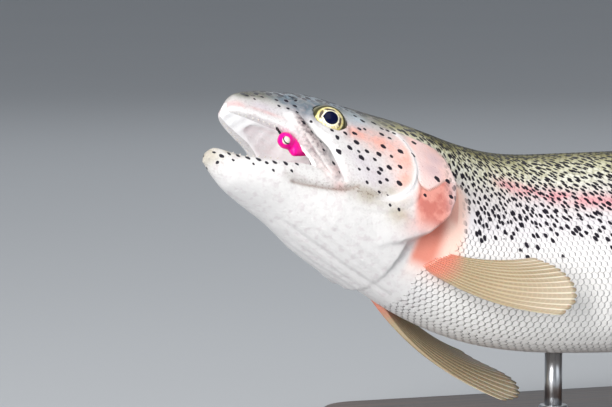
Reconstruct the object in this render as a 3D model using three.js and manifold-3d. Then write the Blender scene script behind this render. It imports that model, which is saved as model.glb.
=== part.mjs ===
// A male rainbow trout at life size, held in a banking turn with its head raised and its mouth open,
// on a plain stand of a flat base and two short rods. A small pink lure is lodged in the mouth.
//
// Millimetres, +Z up. The fish faces -X and its left flank leans towards -Y and up.
// The origin is the centre of the stand base's underside.
//
// The fish is shaped straight first, in body coordinates: x runs tailward from the snout, y is out to
// the fish's left and z towards its back. Joins and cuts are made there, and each finished piece is then
// carried onto the curved spine, which gives the turn, the raised head and the bank.

import * as THREE from 'three';
import { mergeVertices } from 'three/addons/utils/BufferGeometryUtils.js';
import Module from 'manifold-3d';

const wasm = await Module();
wasm.setup();

// ---------------------------------------------------------------- driving dimensions

const TRUNK_START = 96;         // where the head's core ends and the trunk begins
const TRUNK_SPLIT = 237;        // front of the dorsal fin
const VENT = 350;               // where the trunk ends and the tail stem begins
const TAIL_ROOT = 480;          // end of the tail stem, root of the tail fin
const TOTAL_LENGTH = 546;       // snout to the tips of the tail fin
const GAP = 0.4;                // clearance between pieces that meet
const RING = 24;                // points round each section of the body

const JAW_WALL = 3.2;           // thickness of the lower jaw's two sides
const MAXILLA_HALF_THICKNESS = 1.7;
const EYE_PLACE = { x: 47.4, y: 12.4, z: 11.6 };
const EYE_RADIUS = 9.6;

const SPINE_HEIGHT = 86;        // spine above the floor where the trunk is level
const SPINE_ANCHOR = 225;       // place on the spine that stands over the middle of the base

const BASE_LENGTH = 270;
const BASE_WIDTH = 116;
const BASE_THICKNESS = 14;
const BASE_CORNER = 22;
const BASE_BEVEL = 2;
const ROD_RADIUS = 4;
const ROD_PLACES = { stand_rod_front: 180, stand_rod_rear: 318 };
const ROD_SINK = 9;             // how far a rod would reach into the body before it is cut to fit

// Heading, pitch (head up) and bank of the spine, in degrees, at places along it.
const POSE = [
    { at: 0, heading: 9, pitch: 29, bank: 32 },
    { at: 94, heading: 9, pitch: 29, bank: 32 },
    { at: 195, heading: 0, pitch: 0, bank: 49 },
    { at: 270, heading: 1, pitch: 0, bank: 45 },
    { at: 360, heading: 7, pitch: 6, bank: 40 },
    { at: 480, heading: -6, pitch: -4, bank: 33 },
    { at: 550, heading: -8, pitch: -6, bank: 31 },
];

// ---------------------------------------------------------------- outlines of the body, along its length

const CREST = curve([[0, 3.5], [3, 11], [13, 18.8], [28, 26.8], [43, 33], [58, 36.3], [78, 41], [98, 45.5],
    [113, 49.5], [151, 56], [197, 59], [230, 58.5], [273, 55], [317, 49], [360, 41.5], [404, 33.5],
    [436, 28], [458, 25.5], [482, 26.5]]);
const KEEL = curve([[90, -44], [120, -47], [151, -51], [208, -56], [262, -55], [306, -50], [350, -41],
    [393, -31], [436, -25], [458, -23], [482, -24]]);
const TRUNK_WIDTH = curve([[90, 26.5], [110, 28], [151, 29.5], [208, 30], [262, 28.5], [317, 24.5],
    [371, 18.5], [426, 12], [458, 8.2], [482, 4.5]]);
const SKULL_UNDERSIDE = curve([[0, -1], [21, -1.2], [28, -2.5], [37, -10], [45, -22], [55, -33],
    [65, -39.5], [80, -42.5], [96, -44.2]]);
const HEAD_WIDTH = curve([[0, 2.8], [3, 5.8], [8, 8.2], [15, 10.6], [21, 12.4], [28, 15], [37, 18.3],
    [45, 21.8], [60, 25.5], [75, 29], [85, 31.8], [96, 33.5], [110, 35.5]]);
const CORE_WIDTH = curve([[60, 23], [75, 26], [85, 26.6], [96, 26.8], [112, 28]]);
const HEAD_LEVEL = curve([[0, 0], [21, -0.5], [37, -3], [60, -6], [96, -3], [112, -3]]);
const UNDERSIDE_POWER = curve([[0, 5], [24, 5], [45, 3.2], [70, 2.4], [112, 2.2]]);

const JAW_TOP = curve([[-6.5, -26], [-3.6, -22.8], [5, -22.7], [15.8, -20.6], [27, -17.6], [40, -14.5],
    [57, -17]]);
const JAW_KEEL = curve([[-6.5, -29.5], [-1, -33], [10, -36.4], [28, -37], [45, -39.2], [57, -41]]);
const JAW_WIDTH = curve([[-6.5, 2.2], [-4, 3.9], [0, 5.8], [5.3, 7.8], [15.8, 12], [27, 15.6], [40, 18.6],
    [57, 22.4]]);

// ---------------------------------------------------------------- small helpers

/** Smooth curve through a few points that never overshoots them (monotone cubic). */
function curve(points) {
    const xs = points.map((point) => point[0]);
    const ys = points.map((point) => point[1]);
    const slope = xs.slice(1).map((x, i) => (ys[i + 1] - ys[i]) / (x - xs[i]));
    const tangent = ys.map((_, i) => {
        if (i === 0) return slope[0];
        if (i === ys.length - 1) return slope[i - 1];
        if (slope[i - 1] * slope[i] <= 0) return 0;
        return 2 / (1 / slope[i - 1] + 1 / slope[i]);
    });
    return (x) => {
        if (x <= xs[0]) return ys[0];
        if (x >= xs[xs.length - 1]) return ys[ys.length - 1];
        const i = xs.findIndex((edge) => edge > x) - 1;
        const span = xs[i + 1] - xs[i];
        const t = (x - xs[i]) / span;
        const t2 = t * t;
        const t3 = t2 * t;
        return ys[i] * (2 * t3 - 3 * t2 + 1) + tangent[i] * span * (t3 - 2 * t2 + t)
            + ys[i + 1] * (3 * t2 - 2 * t3) + tangent[i + 1] * span * (t3 - t2);
    };
}

/** Evenly spaced values from first to last. */
function steps(first, last, count) {
    return Array.from({ length: count + 1 }, (_, i) => first + ((last - first) * i) / count);
}

/** A geometry from a list of points and a list of triangles. */
function mesh(points, triangles) {
    const geometry = new THREE.BufferGeometry();
    geometry.setAttribute('position', new THREE.Float32BufferAttribute(points.flatMap((p) => [p.x, p.y, p.z]), 3));
    geometry.setIndex(triangles);
    return geometry;
}

/** A closed body through rings of equal count; each ring is a list of points, with a flat fan at both ends. */
function loft(rings) {
    const count = rings[0].length;
    const points = rings.flat();
    const triangles = [];
    for (let r = 0; r + 1 < rings.length; r += 1) {
        for (let i = 0; i < count; i += 1) {
            const a = r * count + i;
            const b = r * count + ((i + 1) % count);
            triangles.push(a, b, b + count, a, b + count, a + count);
        }
    }
    for (const end of [0, rings.length - 1]) {
        const centre = points.length;
        points.push(rings[end].reduce((sum, p) => sum.add(p), new THREE.Vector3()).divideScalar(count));
        for (let i = 0; i < count; i += 1) {
            const a = end * count + i;
            const b = end * count + ((i + 1) % count);
            triangles.push(...(end === 0 ? [centre, b, a] : [centre, a, b]));
        }
    }
    return mesh(points, triangles);
}

/** Turns a closed geometry into a solid that can be joined and cut, whichever way its faces point. */
function solid(geometry) {
    const bare = geometry.clone();
    for (const name of Object.keys(bare.attributes)) {
        if (name !== 'position') bare.deleteAttribute(name);
    }
    const merged = mergeVertices(bare);
    const vertProperties = new Float32Array(merged.attributes.position.array);
    const triVerts = new Uint32Array(merged.index.array);
    if (signedVolume(vertProperties, triVerts) < 0) {
        for (let i = 0; i < triVerts.length; i += 3) {
            [triVerts[i], triVerts[i + 1]] = [triVerts[i + 1], triVerts[i]];
        }
    }
    return new wasm.Manifold(new wasm.Mesh({ numProp: 3, vertProperties, triVerts }));
}

/** Six times the volume inside a list of triangles, negative when its faces point inward. */
function signedVolume(positions, indices) {
    const corner = (i) => new THREE.Vector3().fromArray(positions, indices[i] * 3);
    let total = 0;
    for (let i = 0; i < indices.length; i += 3) {
        total += corner(i).dot(corner(i + 1).cross(corner(i + 2)));
    }
    return total;
}

/** The geometry of a solid. */
function shape(body) {
    const { vertProperties, triVerts } = body.getMesh();
    const geometry = new THREE.BufferGeometry();
    geometry.setAttribute('position', new THREE.BufferAttribute(new Float32Array(vertProperties), 3));
    geometry.setIndex(new THREE.BufferAttribute(new Uint32Array(triVerts), 1));
    return geometry;
}

/** Turns every face of an indexed geometry round. */
function turnFaces(geometry) {
    const index = geometry.index.array;
    for (let i = 0; i < index.length; i += 3) {
        [index[i], index[i + 1]] = [index[i + 1], index[i]];
    }
    return geometry;
}

/** The same geometry on the fish's other side. */
function mirrored(geometry) {
    return turnFaces(geometry.clone().applyMatrix4(new THREE.Matrix4().makeScale(1, -1, 1)));
}

// ---------------------------------------------------------------- the curved spine

const SPINE = layOutSpine();

function layOutSpine() {
    const angle = (key) => curve(POSE.map((station) => [station.at, station[key]]));
    const [heading, pitch, bank] = ['heading', 'pitch', 'bank'].map(angle);
    const frames = new Map();
    const place = new THREE.Vector3();
    let before = null;
    for (let at = -20; at <= TOTAL_LENGTH + 20; at += 1) {
        const yaw = THREE.MathUtils.degToRad(heading(at));
        const rise = THREE.MathUtils.degToRad(pitch(at));
        const roll = THREE.MathUtils.degToRad(bank(at));
        const tailward = new THREE.Vector3(Math.cos(rise) * Math.cos(yaw), Math.cos(rise) * Math.sin(yaw),
            -Math.sin(rise));
        const level = new THREE.Vector3(Math.sin(yaw), -Math.cos(yaw), 0);
        const upright = new THREE.Vector3().crossVectors(tailward, level).negate();
        const left = level.clone().multiplyScalar(Math.cos(roll)).addScaledVector(upright, Math.sin(roll));
        const back = upright.clone().multiplyScalar(Math.cos(roll)).addScaledVector(level, -Math.sin(roll));
        if (before) place.addScaledVector(before.clone().add(tailward), 0.5);
        frames.set(at, { place: place.clone(), tailward, left, back });
        before = tailward;
    }
    const shift = new THREE.Vector3(0, 0, SPINE_HEIGHT).sub(frames.get(SPINE_ANCHOR).place);
    for (const frame of frames.values()) frame.place.add(shift);
    return frames;
}

/** Carries a point from body coordinates onto the curved spine. */
function onSpine(point) {
    const low = Math.floor(point.x);
    const t = point.x - low;
    const [a, b] = [SPINE.get(low), SPINE.get(low + 1)];
    const blend = (key) => a[key].clone().lerp(b[key], t);
    return blend('place').addScaledVector(blend('left'), point.y).addScaledVector(blend('back'), point.z);
}

/** Carries a whole geometry onto the curved spine; body coordinates are left-handed, so its faces are turned. */
function posed(geometry) {
    const bent = turnFaces(mergeVertices(geometry));
    const positions = bent.attributes.position;
    const point = new THREE.Vector3();
    for (let i = 0; i < positions.count; i += 1) {
        const carried = onSpine(point.fromBufferAttribute(positions, i));
        positions.setXYZ(i, carried.x, carried.y, carried.z);
    }
    return bent;
}

// ---------------------------------------------------------------- body sections

/** One cross-section: rounded, widest at `level`, with its own fullness above and below. */
function section(x, { crest, keel, width, level, above, below }, grow = 0) {
    const ring = [];
    for (let i = 0; i < RING; i += 1) {
        const angle = ((i + 0.5) / RING) * Math.PI * 2;
        const [c, s] = [Math.cos(angle), Math.sin(angle)];
        const power = s > 0 ? above : below;
        const height = s > 0 ? crest - level : level - keel;
        const y = (width + grow) * Math.sign(c) * Math.abs(c) ** (2 / power);
        const z = level + (height + grow) * Math.sign(s) * Math.abs(s) ** (2 / power);
        ring.push(new THREE.Vector3(x, y, z));
    }
    return ring;
}

const TRUNK_LEVEL = curve([[90, -3], [210, -1], [480, 0]]);
const trunkSection = (x, grow) => section(x, {
    crest: CREST(x), keel: KEEL(x), width: TRUNK_WIDTH(x), level: TRUNK_LEVEL(x), above: 1.85, below: 2.1,
}, grow);

const headSection = (x, grow) => section(x, {
    crest: CREST(x), keel: SKULL_UNDERSIDE(x), width: HEAD_WIDTH(x), level: HEAD_LEVEL(x),
    above: 1.8, below: UNDERSIDE_POWER(x),
}, grow);

const coreSection = (x, grow) => section(x, {
    crest: CREST(x), keel: SKULL_UNDERSIDE(x), width: CORE_WIDTH(x), level: HEAD_LEVEL(x),
    above: 1.8, below: UNDERSIDE_POWER(x),
}, grow);

const jawSection = (x, grow) => section(x, {
    crest: JAW_TOP(x), keel: JAW_KEEL(x), width: JAW_WIDTH(x), level: JAW_TOP(x) - 5, above: 3.2, below: 2.1,
}, grow);

/** A length of trunk or tail between two places. */
function trunkLength(first, last, count, grow = 0) {
    return loft(steps(first, last, count).map((x) => trunkSection(x, grow)));
}

function trunkFront(grow = 0) {
    return solid(trunkLength(TRUNK_START + GAP, TRUNK_SPLIT, 9, grow));
}

/** An extruded outline in the x-z plane, as a solid that reaches from one y to another. */
function plateBlank(outline, inner, outer) {
    const flat = new THREE.ExtrudeGeometry(outline, { depth: outer - inner, bevelEnabled: false, curveSegments: 8 });
    flat.rotateX(Math.PI / 2);
    flat.translate(0, outer, 0);
    return solid(flat);
}

/** A smooth closed outline in the x-z plane through a few points, grown outwards by a margin. */
function outlineOf(points, grow = 0) {
    const spline = new THREE.CatmullRomCurve3(points.map(([x, z]) => new THREE.Vector3(x, z, 0)), true, 'centripetal');
    const round = spline.getPoints(points.length);
    round.pop();
    const clockwise = THREE.ShapeUtils.isClockWise(round);
    const grown = round.map((p, i) => {
        const ahead = round[(i + 1) % round.length];
        const behind = round[(i + round.length - 1) % round.length];
        const along = new THREE.Vector2(ahead.x - behind.x, ahead.y - behind.y).normalize();
        const outward = clockwise ? new THREE.Vector2(-along.y, along.x) : new THREE.Vector2(along.y, -along.x);
        return new THREE.Vector2(p.x + outward.x * grow, p.y + outward.y * grow);
    });
    return new THREE.Shape(grown);
}

// ---------------------------------------------------------------- the head and its plates

const PREOPERCLE_OUTLINE = [[74, 19], [80, 15], [84.5, 6], [86, -3], [84.5, -12], [79, -18.5], [70, -22.5],
    [61, -24.5], [60, -21.5], [68, -17], [73.5, -10], [76, -1], [74, 9], [71, 16]];
const OPERCLE_OUTLINE = [[82, 20.5], [90, 22.5], [98, 19], [104, 10.5], [107, 1], [107.5, -8], [104.5, -18],
    [97, -27], [86, -33], [70, -36.5], [60, -34], [62, -27], [72, -25], [82, -20], [87, -12.5], [88.5, -3],
    [87, 7], [84, 14]];

const HEAD_STATIONS = [0, 1.2, 3, 7, 13, 21, 28, 36, 44, 52, 60, 68, 77, 86, 96];

function headBlank() {
    return solid(loft(HEAD_STATIONS.map((x) => headSection(x, 0))));
}

/** The gill plates' outer skin, which runs on past the head over the front of the trunk. */
function coverBlank(grow) {
    return solid(loft([52, 60, 68, 77, 86, 96, 111].map((x) => headSection(x, grow))));
}

/** The head's inner core, which the gill plates lie on. */
function coreBlank(grow) {
    return solid(loft([50, 68, 77, 86, 96, 113].map((x) => coreSection(x, grow))));
}

/** A gill plate: the outer skin inside its outline, down to the core. */
function gillPlate(points, grow = 0) {
    const blank = plateBlank(outlineOf(points, grow), 8, 60);
    return coverBlank(grow + 0.6).intersect(blank).subtract(coreBlank(GAP - grow)).subtract(trunkFront(GAP));
}

/** The upper lip's strap of bone, which swings down and forward as the mouth opens. */
function maxilla(grow = 0) {
    const path = new THREE.QuadraticBezierCurve3(new THREE.Vector3(26, 14.3, 8),
        new THREE.Vector3(36, 18.6, -1), new THREE.Vector3(53, 23.3, -20.5));
    const halfWidth = curve([[0, 2.5], [0.25, 4], [0.8, 4.9], [1, 3.6]]);
    const rings = steps(0, 1, 9).map((t) => {
        const centre = path.getPoint(t);
        const along = path.getTangent(t);
        const across = new THREE.Vector3().crossVectors(new THREE.Vector3(0, 1, 0), along).normalize();
        const out = new THREE.Vector3().crossVectors(along, across);
        return steps(0, 9, 9).map((i) => {
            const angle = (i / 10) * Math.PI * 2;
            return centre.clone().addScaledVector(across, Math.cos(angle) * (halfWidth(t) + grow))
                .addScaledVector(out, Math.sin(angle) * (MAXILLA_HALF_THICKNESS + grow));
        });
    });
    return solid(loft(rings));
}

function eyeball(grow = 0) {
    const ball = new THREE.SphereGeometry(EYE_RADIUS + grow, 12, 8);
    ball.translate(EYE_PLACE.x, EYE_PLACE.y, EYE_PLACE.z);
    return solid(ball);
}

/** The space inside the open mouth, from behind the lips to the gullet. */
function mouthSpace() {
    const roof = curve([[12, 1], [20, 4], [32, 3.5], [42, 0], [55, -7], [70, -14], [84, -19]]);
    const floor = curve([[12, -34], [56, -31], [70, -27], [84, -23]]);
    const width = curve([[12, 4], [20, 9.5], [32, 12.6], [44, 14], [60, 13], [74, 10], [84, 5]]);
    return solid(loft([12, 16, 20, 27, 35, 45, 58, 72, 84].map((x) => {
        const middle = (roof(x) + floor(x)) / 2;
        return section(x, { crest: roof(x), keel: floor(x), width: width(x), level: middle, above: 2.4, below: 2.4 })
            .filter((_, i) => i % 2 === 0);
    })));
}

/** Small pointed teeth along a lip, each a low four-sided spike. */
function teeth(lipAt, places, height) {
    return places.flatMap((x) => [1, -1].map((side) => {
        const root = lipAt(x, side);
        const spike = new THREE.ConeGeometry(0.75, Math.abs(height), 4, 1);
        spike.rotateX(height > 0 ? Math.PI / 2 : -Math.PI / 2);
        spike.translate(root.x, root.y, root.z + height / 2);
        return solid(spike);
    }));
}

function jawBlank(grow = 0) {
    const stations = [-6.5, -5.6, -3.6, 0, 5, 11, 19, 28, 38, 48, 57 + grow];
    return solid(loft(stations.map((x, i) => jawSection(i === 0 ? x - grow : x, grow))));
}

/** The hollow between the two sides of the lower jaw, drawn in by a margin. */
function jawTrough(stations, inset = 0) {
    const floor = curve([[1, -25], [8, -28], [30, -31], [60, -31]]);
    return solid(loft(stations.map((x) => section(x, {
        crest: 0, keel: floor(x) + inset, width: Math.max(JAW_WIDTH(x) - JAW_WALL - inset, 1), level: -18,
        above: 3, below: 2.4,
    }).filter((_, i) => i % 2 === 0))));
}

function tongue() {
    const top = curve([[5, -27], [10, -24.5], [25, -24], [50, -25]]);
    const width = curve([[5, 2.5], [10, 4.2], [25, 6], [50, 7]]);
    return solid(loft([5, 7, 10, 16, 25, 36, 50].map((x) => section(x, {
        crest: top(x), keel: top(x) - 8, width: width(x), level: top(x) - 3, above: 2.2, below: 2.2,
    }).filter((_, i) => i % 2 === 0))));
}

// ---------------------------------------------------------------- fins

/**
 * A fin as a thin plate between its root line and its free edge, thickest at the root.
 * `root` and `edge` give a point for a place along the fin from 0 to 1.
 */
function fin({ root, edge, along, out, thick, thin = 0.7, belly = 0 }) {
    const grid = steps(0, 1, along).map((a) => steps(0, 1, out).map((b) => {
        const point = root(a).lerp(edge(a), b);
        const before = root(Math.max(a - 0.02, 0)).lerp(edge(Math.max(a - 0.02, 0)), b);
        const after = root(Math.min(a + 0.02, 1)).lerp(edge(Math.min(a + 0.02, 1)), b);
        const normal = after.sub(before).cross(edge(a).sub(root(a))).normalize();
        point.addScaledVector(normal, belly * Math.sin(Math.PI * b) * Math.sin(Math.PI * a));
        const rim = Math.min(1, 6 * Math.min(a, 1 - a) + 0.25);
        const half = (0.5 * (thick + (thin - thick) * b ** 0.7)) * rim + 0.5 * thin * (1 - rim);
        return { front: point.clone().addScaledVector(normal, half), rear: point.addScaledVector(normal, -half) };
    }));
    const points = grid.flat().flatMap((node) => [node.front, node.rear]);
    const at = (i, j, face) => 2 * (i * (out + 1) + j) + face;
    const triangles = [];
    const quad = (a, b, c, d) => triangles.push(a, b, c, a, c, d);
    for (let i = 0; i < along; i += 1) {
        for (let j = 0; j < out; j += 1) {
            quad(at(i, j, 0), at(i + 1, j, 0), at(i + 1, j + 1, 0), at(i, j + 1, 0));
            quad(at(i, j, 1), at(i, j + 1, 1), at(i + 1, j + 1, 1), at(i + 1, j, 1));
        }
        quad(at(i, 0, 0), at(i, 0, 1), at(i + 1, 0, 1), at(i + 1, 0, 0));
        quad(at(i, out, 0), at(i + 1, out, 0), at(i + 1, out, 1), at(i, out, 1));
    }
    for (let j = 0; j < out; j += 1) {
        quad(at(0, j, 0), at(0, j + 1, 0), at(0, j + 1, 1), at(0, j, 1));
        quad(at(along, j, 0), at(along, j, 1), at(along, j + 1, 1), at(along, j + 1, 0));
    }
    return solid(mesh(points, triangles));
}

/** A smooth open line through points, read from 0 to 1. */
function line(points) {
    const spline = new THREE.CatmullRomCurve3(points.map((p) => new THREE.Vector3(...p)), false, 'centripetal');
    return (t) => spline.getPoint(t);
}

const FINS = {
    fin_dorsal: {
        root: line([[238, 0, 51], [266, 0, 49], [296, 0, 45]]),
        edge: line([[260, 0, 95], [270, 0, 97], [290, 0, 84], [303, 0, 69], [311, 0, 57]]),
        along: 11, out: 3, thick: 4,
    },
    fin_adipose: {
        root: line([[398, 0, 31], [407, 0, 29]]),
        edge: line([[411, 0, 43], [417, 0, 47], [423, 0, 44.5], [423, 0, 40.5]]),
        along: 6, out: 2, thick: 2.6,
    },
    fin_anal: {
        root: line([[351, 0, -35], [374, 0, -30], [394, 0, -25]]),
        edge: line([[374, 0, -75], [382, 0, -77], [394, 0, -61], [402, 0, -48], [408, 0, -37]]),
        along: 9, out: 3, thick: 3.4,
    },
    fin_tail: {
        root: line([[474, 0, 20], [479, 0, 0], [474, 0, -18]]),
        edge: line([[TOTAL_LENGTH, 0, 58], [542, 0, 47], [534, 0, 24], [531, 0, 0], [534, 0, -22],
            [541, 0, -45], [TOTAL_LENGTH - 1, 0, -56]]),
        along: 14, out: 4, thick: 6,
    },
    fin_pelvic_left: {
        root: line([[256, 9, -50], [263, 11, -50], [270, 12, -49]]),
        edge: line([[286, 15, -81], [291, 18, -80], [297, 21, -71], [299, 20, -63]]),
        along: 7, out: 3, thick: 3,
    },
    fin_pectoral_left: {
        root: line([[104, 19, -36], [109, 20, -32], [114, 21, -27]]),
        edge: line([[161, 31, -62], [168, 33, -57], [169, 35, -48], [163, 36, -39], [152, 35, -31]]),
        along: 9, out: 4, thick: 3.6,
    },
};

// ---------------------------------------------------------------- the lure

const BEAD_PLACE = { x: 26.6, y: 12.7, z: -7.5 };
const BEAD_RADIUS = 1.9;
const WIRE_RADIUS = 0.55;
const LURE_SIDE = 11;           // how far the lure hangs out to the fish's left

/** The lure's body: a round head with a flattened tail behind it. */
function lureBody(grow = 0) {
    const crest = curve([[23.9, -5.2], [25, -3.3], [27.5, -2.3], [30.5, -2.7], [34, -1.9], [37, -3], [40.8, -6]]);
    const keel = curve([[23.9, -6.6], [25, -8.8], [27.9, -9.7], [30.6, -9.2], [33, -11.2], [36, -9.8], [40.8, -6.9]]);
    const width = curve([[23.9, 0.7], [25, 2.5], [27.9, 3.6], [30.6, 2.9], [34, 2.5], [40.8, 0.6]]);
    const places = [23.9 - grow, 24.4, 25.6, 27.6, 30.5, 33, 36, 39, 40.8 + grow];
    return solid(loft(places.map((x) => section(x, {
        crest: crest(x), keel: keel(x), width: width(x), level: (crest(x) + keel(x)) / 2, above: 2, below: 2,
    }, grow).filter((_, i) => i % 2 === 0).map((point) => point.setY(point.y + LURE_SIDE)))));
}

/** The pearl bead set in the lure's near side. */
function lureBead(grow = 0) {
    const bead = new THREE.SphereGeometry(BEAD_RADIUS + grow, 8, 6);
    bead.translate(BEAD_PLACE.x, BEAD_PLACE.y, BEAD_PLACE.z);
    return solid(bead);
}

/** The hook: a wire from its eye in front, through the lure, bent round into the corner of the mouth. */
function lureHook(grow = 0) {
    const bend = new THREE.CatmullRomCurve3([[22.3, 10.5, -1.7], [25.5, 10.9, -4.2], [31, 11, -5.4],
        [37, 10.8, -5.8], [42.5, 9.5, -6.2], [46, 8, -8.7], [45, 7, -12], [42, 6.5, -13]]
        .map((p) => new THREE.Vector3(...p)));
    const wire = new THREE.Shape().absarc(0, 0, WIRE_RADIUS + grow, 0, Math.PI * 2);
    return solid(new THREE.ExtrudeGeometry(wire, { steps: 13, extrudePath: bend, curveSegments: 3 }));
}

// ---------------------------------------------------------------- the stand

function standBase() {
    const [x, y, r] = [BASE_LENGTH / 2 - BASE_BEVEL, BASE_WIDTH / 2 - BASE_BEVEL, BASE_CORNER];
    const outline = new THREE.Shape();
    outline.absarc(x - r, y - r, r, 0, Math.PI / 2);
    outline.absarc(r - x, y - r, r, Math.PI / 2, Math.PI);
    outline.absarc(r - x, r - y, r, Math.PI, Math.PI * 1.5);
    outline.absarc(x - r, r - y, r, Math.PI * 1.5, Math.PI * 2);
    const slab = new THREE.ExtrudeGeometry(outline, {
        depth: BASE_THICKNESS - 2 * BASE_BEVEL, bevelSize: BASE_BEVEL, bevelThickness: BASE_BEVEL,
        bevelSegments: 1, curveSegments: 3,
    });
    slab.translate(0, 0, BASE_BEVEL);
    return slab;
}

/** A rod from the base straight up to the lowest line of the body above it, cut to fit against it. */
function standRod(at) {
    const lowest = trunkSection(at, 0).map(onSpine).reduce((low, p) => (p.z < low.z ? p : low));
    const bottom = BASE_THICKNESS + GAP;
    const top = lowest.z + ROD_SINK;
    const rod = new THREE.CylinderGeometry(ROD_RADIUS, ROD_RADIUS, top - bottom, 20);
    rod.rotateX(Math.PI / 2);
    rod.translate(lowest.x, lowest.y, (top + bottom) / 2);
    const body = solid(posed(trunkLength(at - 30, at + 30, 8, GAP)));
    return shape(solid(rod).subtract(body));
}

// ---------------------------------------------------------------- materials

const finish = (color, roughness, metalness = 0) => new THREE.MeshStandardMaterial({ color, roughness, metalness });
const FINISHES = {
    head: finish(0xcfc6b8, 0.35),
    cheek: finish(0xe3c3b6, 0.32),
    trunk: finish(0x9d9a68, 0.38),
    mouth: finish(0xefe6df, 0.4),
    fins: finish(0xa08c66, 0.5),
    eyes: finish(0x15130f, 0.08),
    lure: finish(0xe0148c, 0.2),
    bead: finish(0xe8e4da, 0.15),
    hook: finish(0x3a3a3c, 0.3, 1),
    base: finish(0x3b2a20, 0.5),
    rods: finish(0xb9bcc0, 0.3, 1),
};

// ---------------------------------------------------------------- assembly

const trout = new THREE.Group();

function add(name, geometry, material) {
    const piece = new THREE.Mesh(geometry, material);
    piece.name = name;
    trout.add(piece);
}

/** Adds a piece made in body coordinates, carried onto the spine. */
function addFlesh(name, body, material) {
    add(name, posed(shape(body)), material);
}

function addPair(stem, body, material) {
    add(`${stem}_left`, posed(shape(body)), material);
    add(`${stem}_right`, posed(mirrored(shape(body))), material);
}

function bothSides(body) {
    return body.add(solid(mirrored(shape(body))));
}

function buildHead() {
    let head = headBlank().subtract(mouthSpace()).subtract(jawBlank(GAP));
    head = head.subtract(bothSides(maxilla(GAP)));
    head = head.subtract(bothSides(gillPlate(PREOPERCLE_OUTLINE, GAP)));
    head = head.subtract(bothSides(gillPlate(OPERCLE_OUTLINE, GAP)));
    head = head.subtract(bothSides(eyeball(GAP)));
    head = head.subtract(lureBody(GAP)).subtract(lureHook(GAP)).subtract(lureBead(GAP));
    const upperLip = (x, side) => new THREE.Vector3(x, side * (HEAD_WIDTH(x) - 2.2), SKULL_UNDERSIDE(x) + 0.5);
    for (const tooth of teeth(upperLip, [6, 11, 16, 21], -2.1)) head = head.add(tooth);
    addFlesh('head', head, FINISHES.head);
    addPair('maxilla', maxilla(), FINISHES.cheek);
    addPair('preopercle', gillPlate(PREOPERCLE_OUTLINE), FINISHES.cheek);
    addPair('gill_cover', gillPlate(OPERCLE_OUTLINE), FINISHES.cheek);
    addPair('eye', eyeball(), FINISHES.eyes);
}

function buildLowerJaw() {
    let jaw = jawBlank().subtract(jawTrough([1, 5, 10, 18, 28, 40, 60])).subtract(bothSides(maxilla(GAP)));
    jaw = jaw.subtract(lureBody(GAP)).subtract(lureHook(GAP)).subtract(lureBead(GAP));
    const lip = (x, side) => new THREE.Vector3(x, side * (JAW_WIDTH(x) - 2), JAW_TOP(x) - 1.2);
    for (const tooth of teeth(lip, [5, 10, 15, 20], 2.3)) jaw = jaw.add(tooth);
    addFlesh('jaw_lower', jaw, FINISHES.mouth);
    addFlesh('tongue', tongue().intersect(jawTrough([3, 5, 10, 18, 28, 40, 52], 0.8)), FINISHES.mouth);
}

function buildTrunk() {
    const middle = solid(trunkLength(TRUNK_SPLIT + GAP, VENT, 7));
    const stem = solid(trunkLength(VENT + GAP, TAIL_ROOT, 8));
    addFlesh('trunk_front', trunkFront(), FINISHES.trunk);
    addFlesh('trunk_middle', middle, FINISHES.trunk);
    addFlesh('tail_stem', stem, FINISHES.trunk);
}

function buildFins() {
    const whole = solid(trunkLength(TRUNK_START, TAIL_ROOT + GAP, 30, GAP));
    for (const [name, form] of Object.entries(FINS)) {
        const free = fin(form).subtract(whole);
        if (name.endsWith('_left')) addPair(name.replace('_left', ''), free, FINISHES.fins);
        else addFlesh(name, free, FINISHES.fins);
    }
}

function buildLure() {
    addFlesh('lure_body', lureBody().subtract(lureBead(GAP)).subtract(lureHook(GAP)), FINISHES.lure);
    addFlesh('lure_bead', lureBead(), FINISHES.bead);
    addFlesh('lure_hook', lureHook(), FINISHES.hook);
}

function buildStand() {
    add('stand_base', standBase(), FINISHES.base);
    for (const [name, at] of Object.entries(ROD_PLACES)) add(name, standRod(at), FINISHES.rods);
}

buildHead();
buildLowerJaw();
buildTrunk();
buildFins();
buildLure();
buildStand();

export default trout;
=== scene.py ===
"""A rainbow trout at life size, turning with its mouth open on a small pink lure, held by a two-rod stand.

The fish is shaped straight first, in body coordinates in millimetres: x runs tailward from the snout, y is
out to the fish's left and z towards its back. Its markings are worked out there too. Each finished mesh is
then carried onto the curved spine, which gives the turn, the raised head and the bank, in metres.
"""

import logging
import math
from dataclasses import dataclass, field
from enum import Enum
from typing import Callable, Sequence

import bmesh
import bpy
import numpy as np
from mathutils import Matrix, Vector


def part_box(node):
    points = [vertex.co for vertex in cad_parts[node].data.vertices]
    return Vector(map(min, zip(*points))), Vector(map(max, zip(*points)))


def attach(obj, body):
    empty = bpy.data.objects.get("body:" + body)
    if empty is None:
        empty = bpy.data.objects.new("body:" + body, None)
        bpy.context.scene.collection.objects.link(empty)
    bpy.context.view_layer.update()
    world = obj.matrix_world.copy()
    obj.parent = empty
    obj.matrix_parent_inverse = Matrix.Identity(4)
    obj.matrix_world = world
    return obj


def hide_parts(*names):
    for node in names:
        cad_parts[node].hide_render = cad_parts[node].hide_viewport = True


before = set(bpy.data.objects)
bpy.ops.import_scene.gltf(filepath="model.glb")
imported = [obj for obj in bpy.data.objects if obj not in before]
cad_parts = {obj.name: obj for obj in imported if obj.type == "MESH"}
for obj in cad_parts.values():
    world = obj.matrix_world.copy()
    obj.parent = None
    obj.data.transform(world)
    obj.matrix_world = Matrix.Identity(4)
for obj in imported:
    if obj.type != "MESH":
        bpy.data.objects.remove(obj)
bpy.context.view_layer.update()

log = logging.getLogger("trout")

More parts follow.
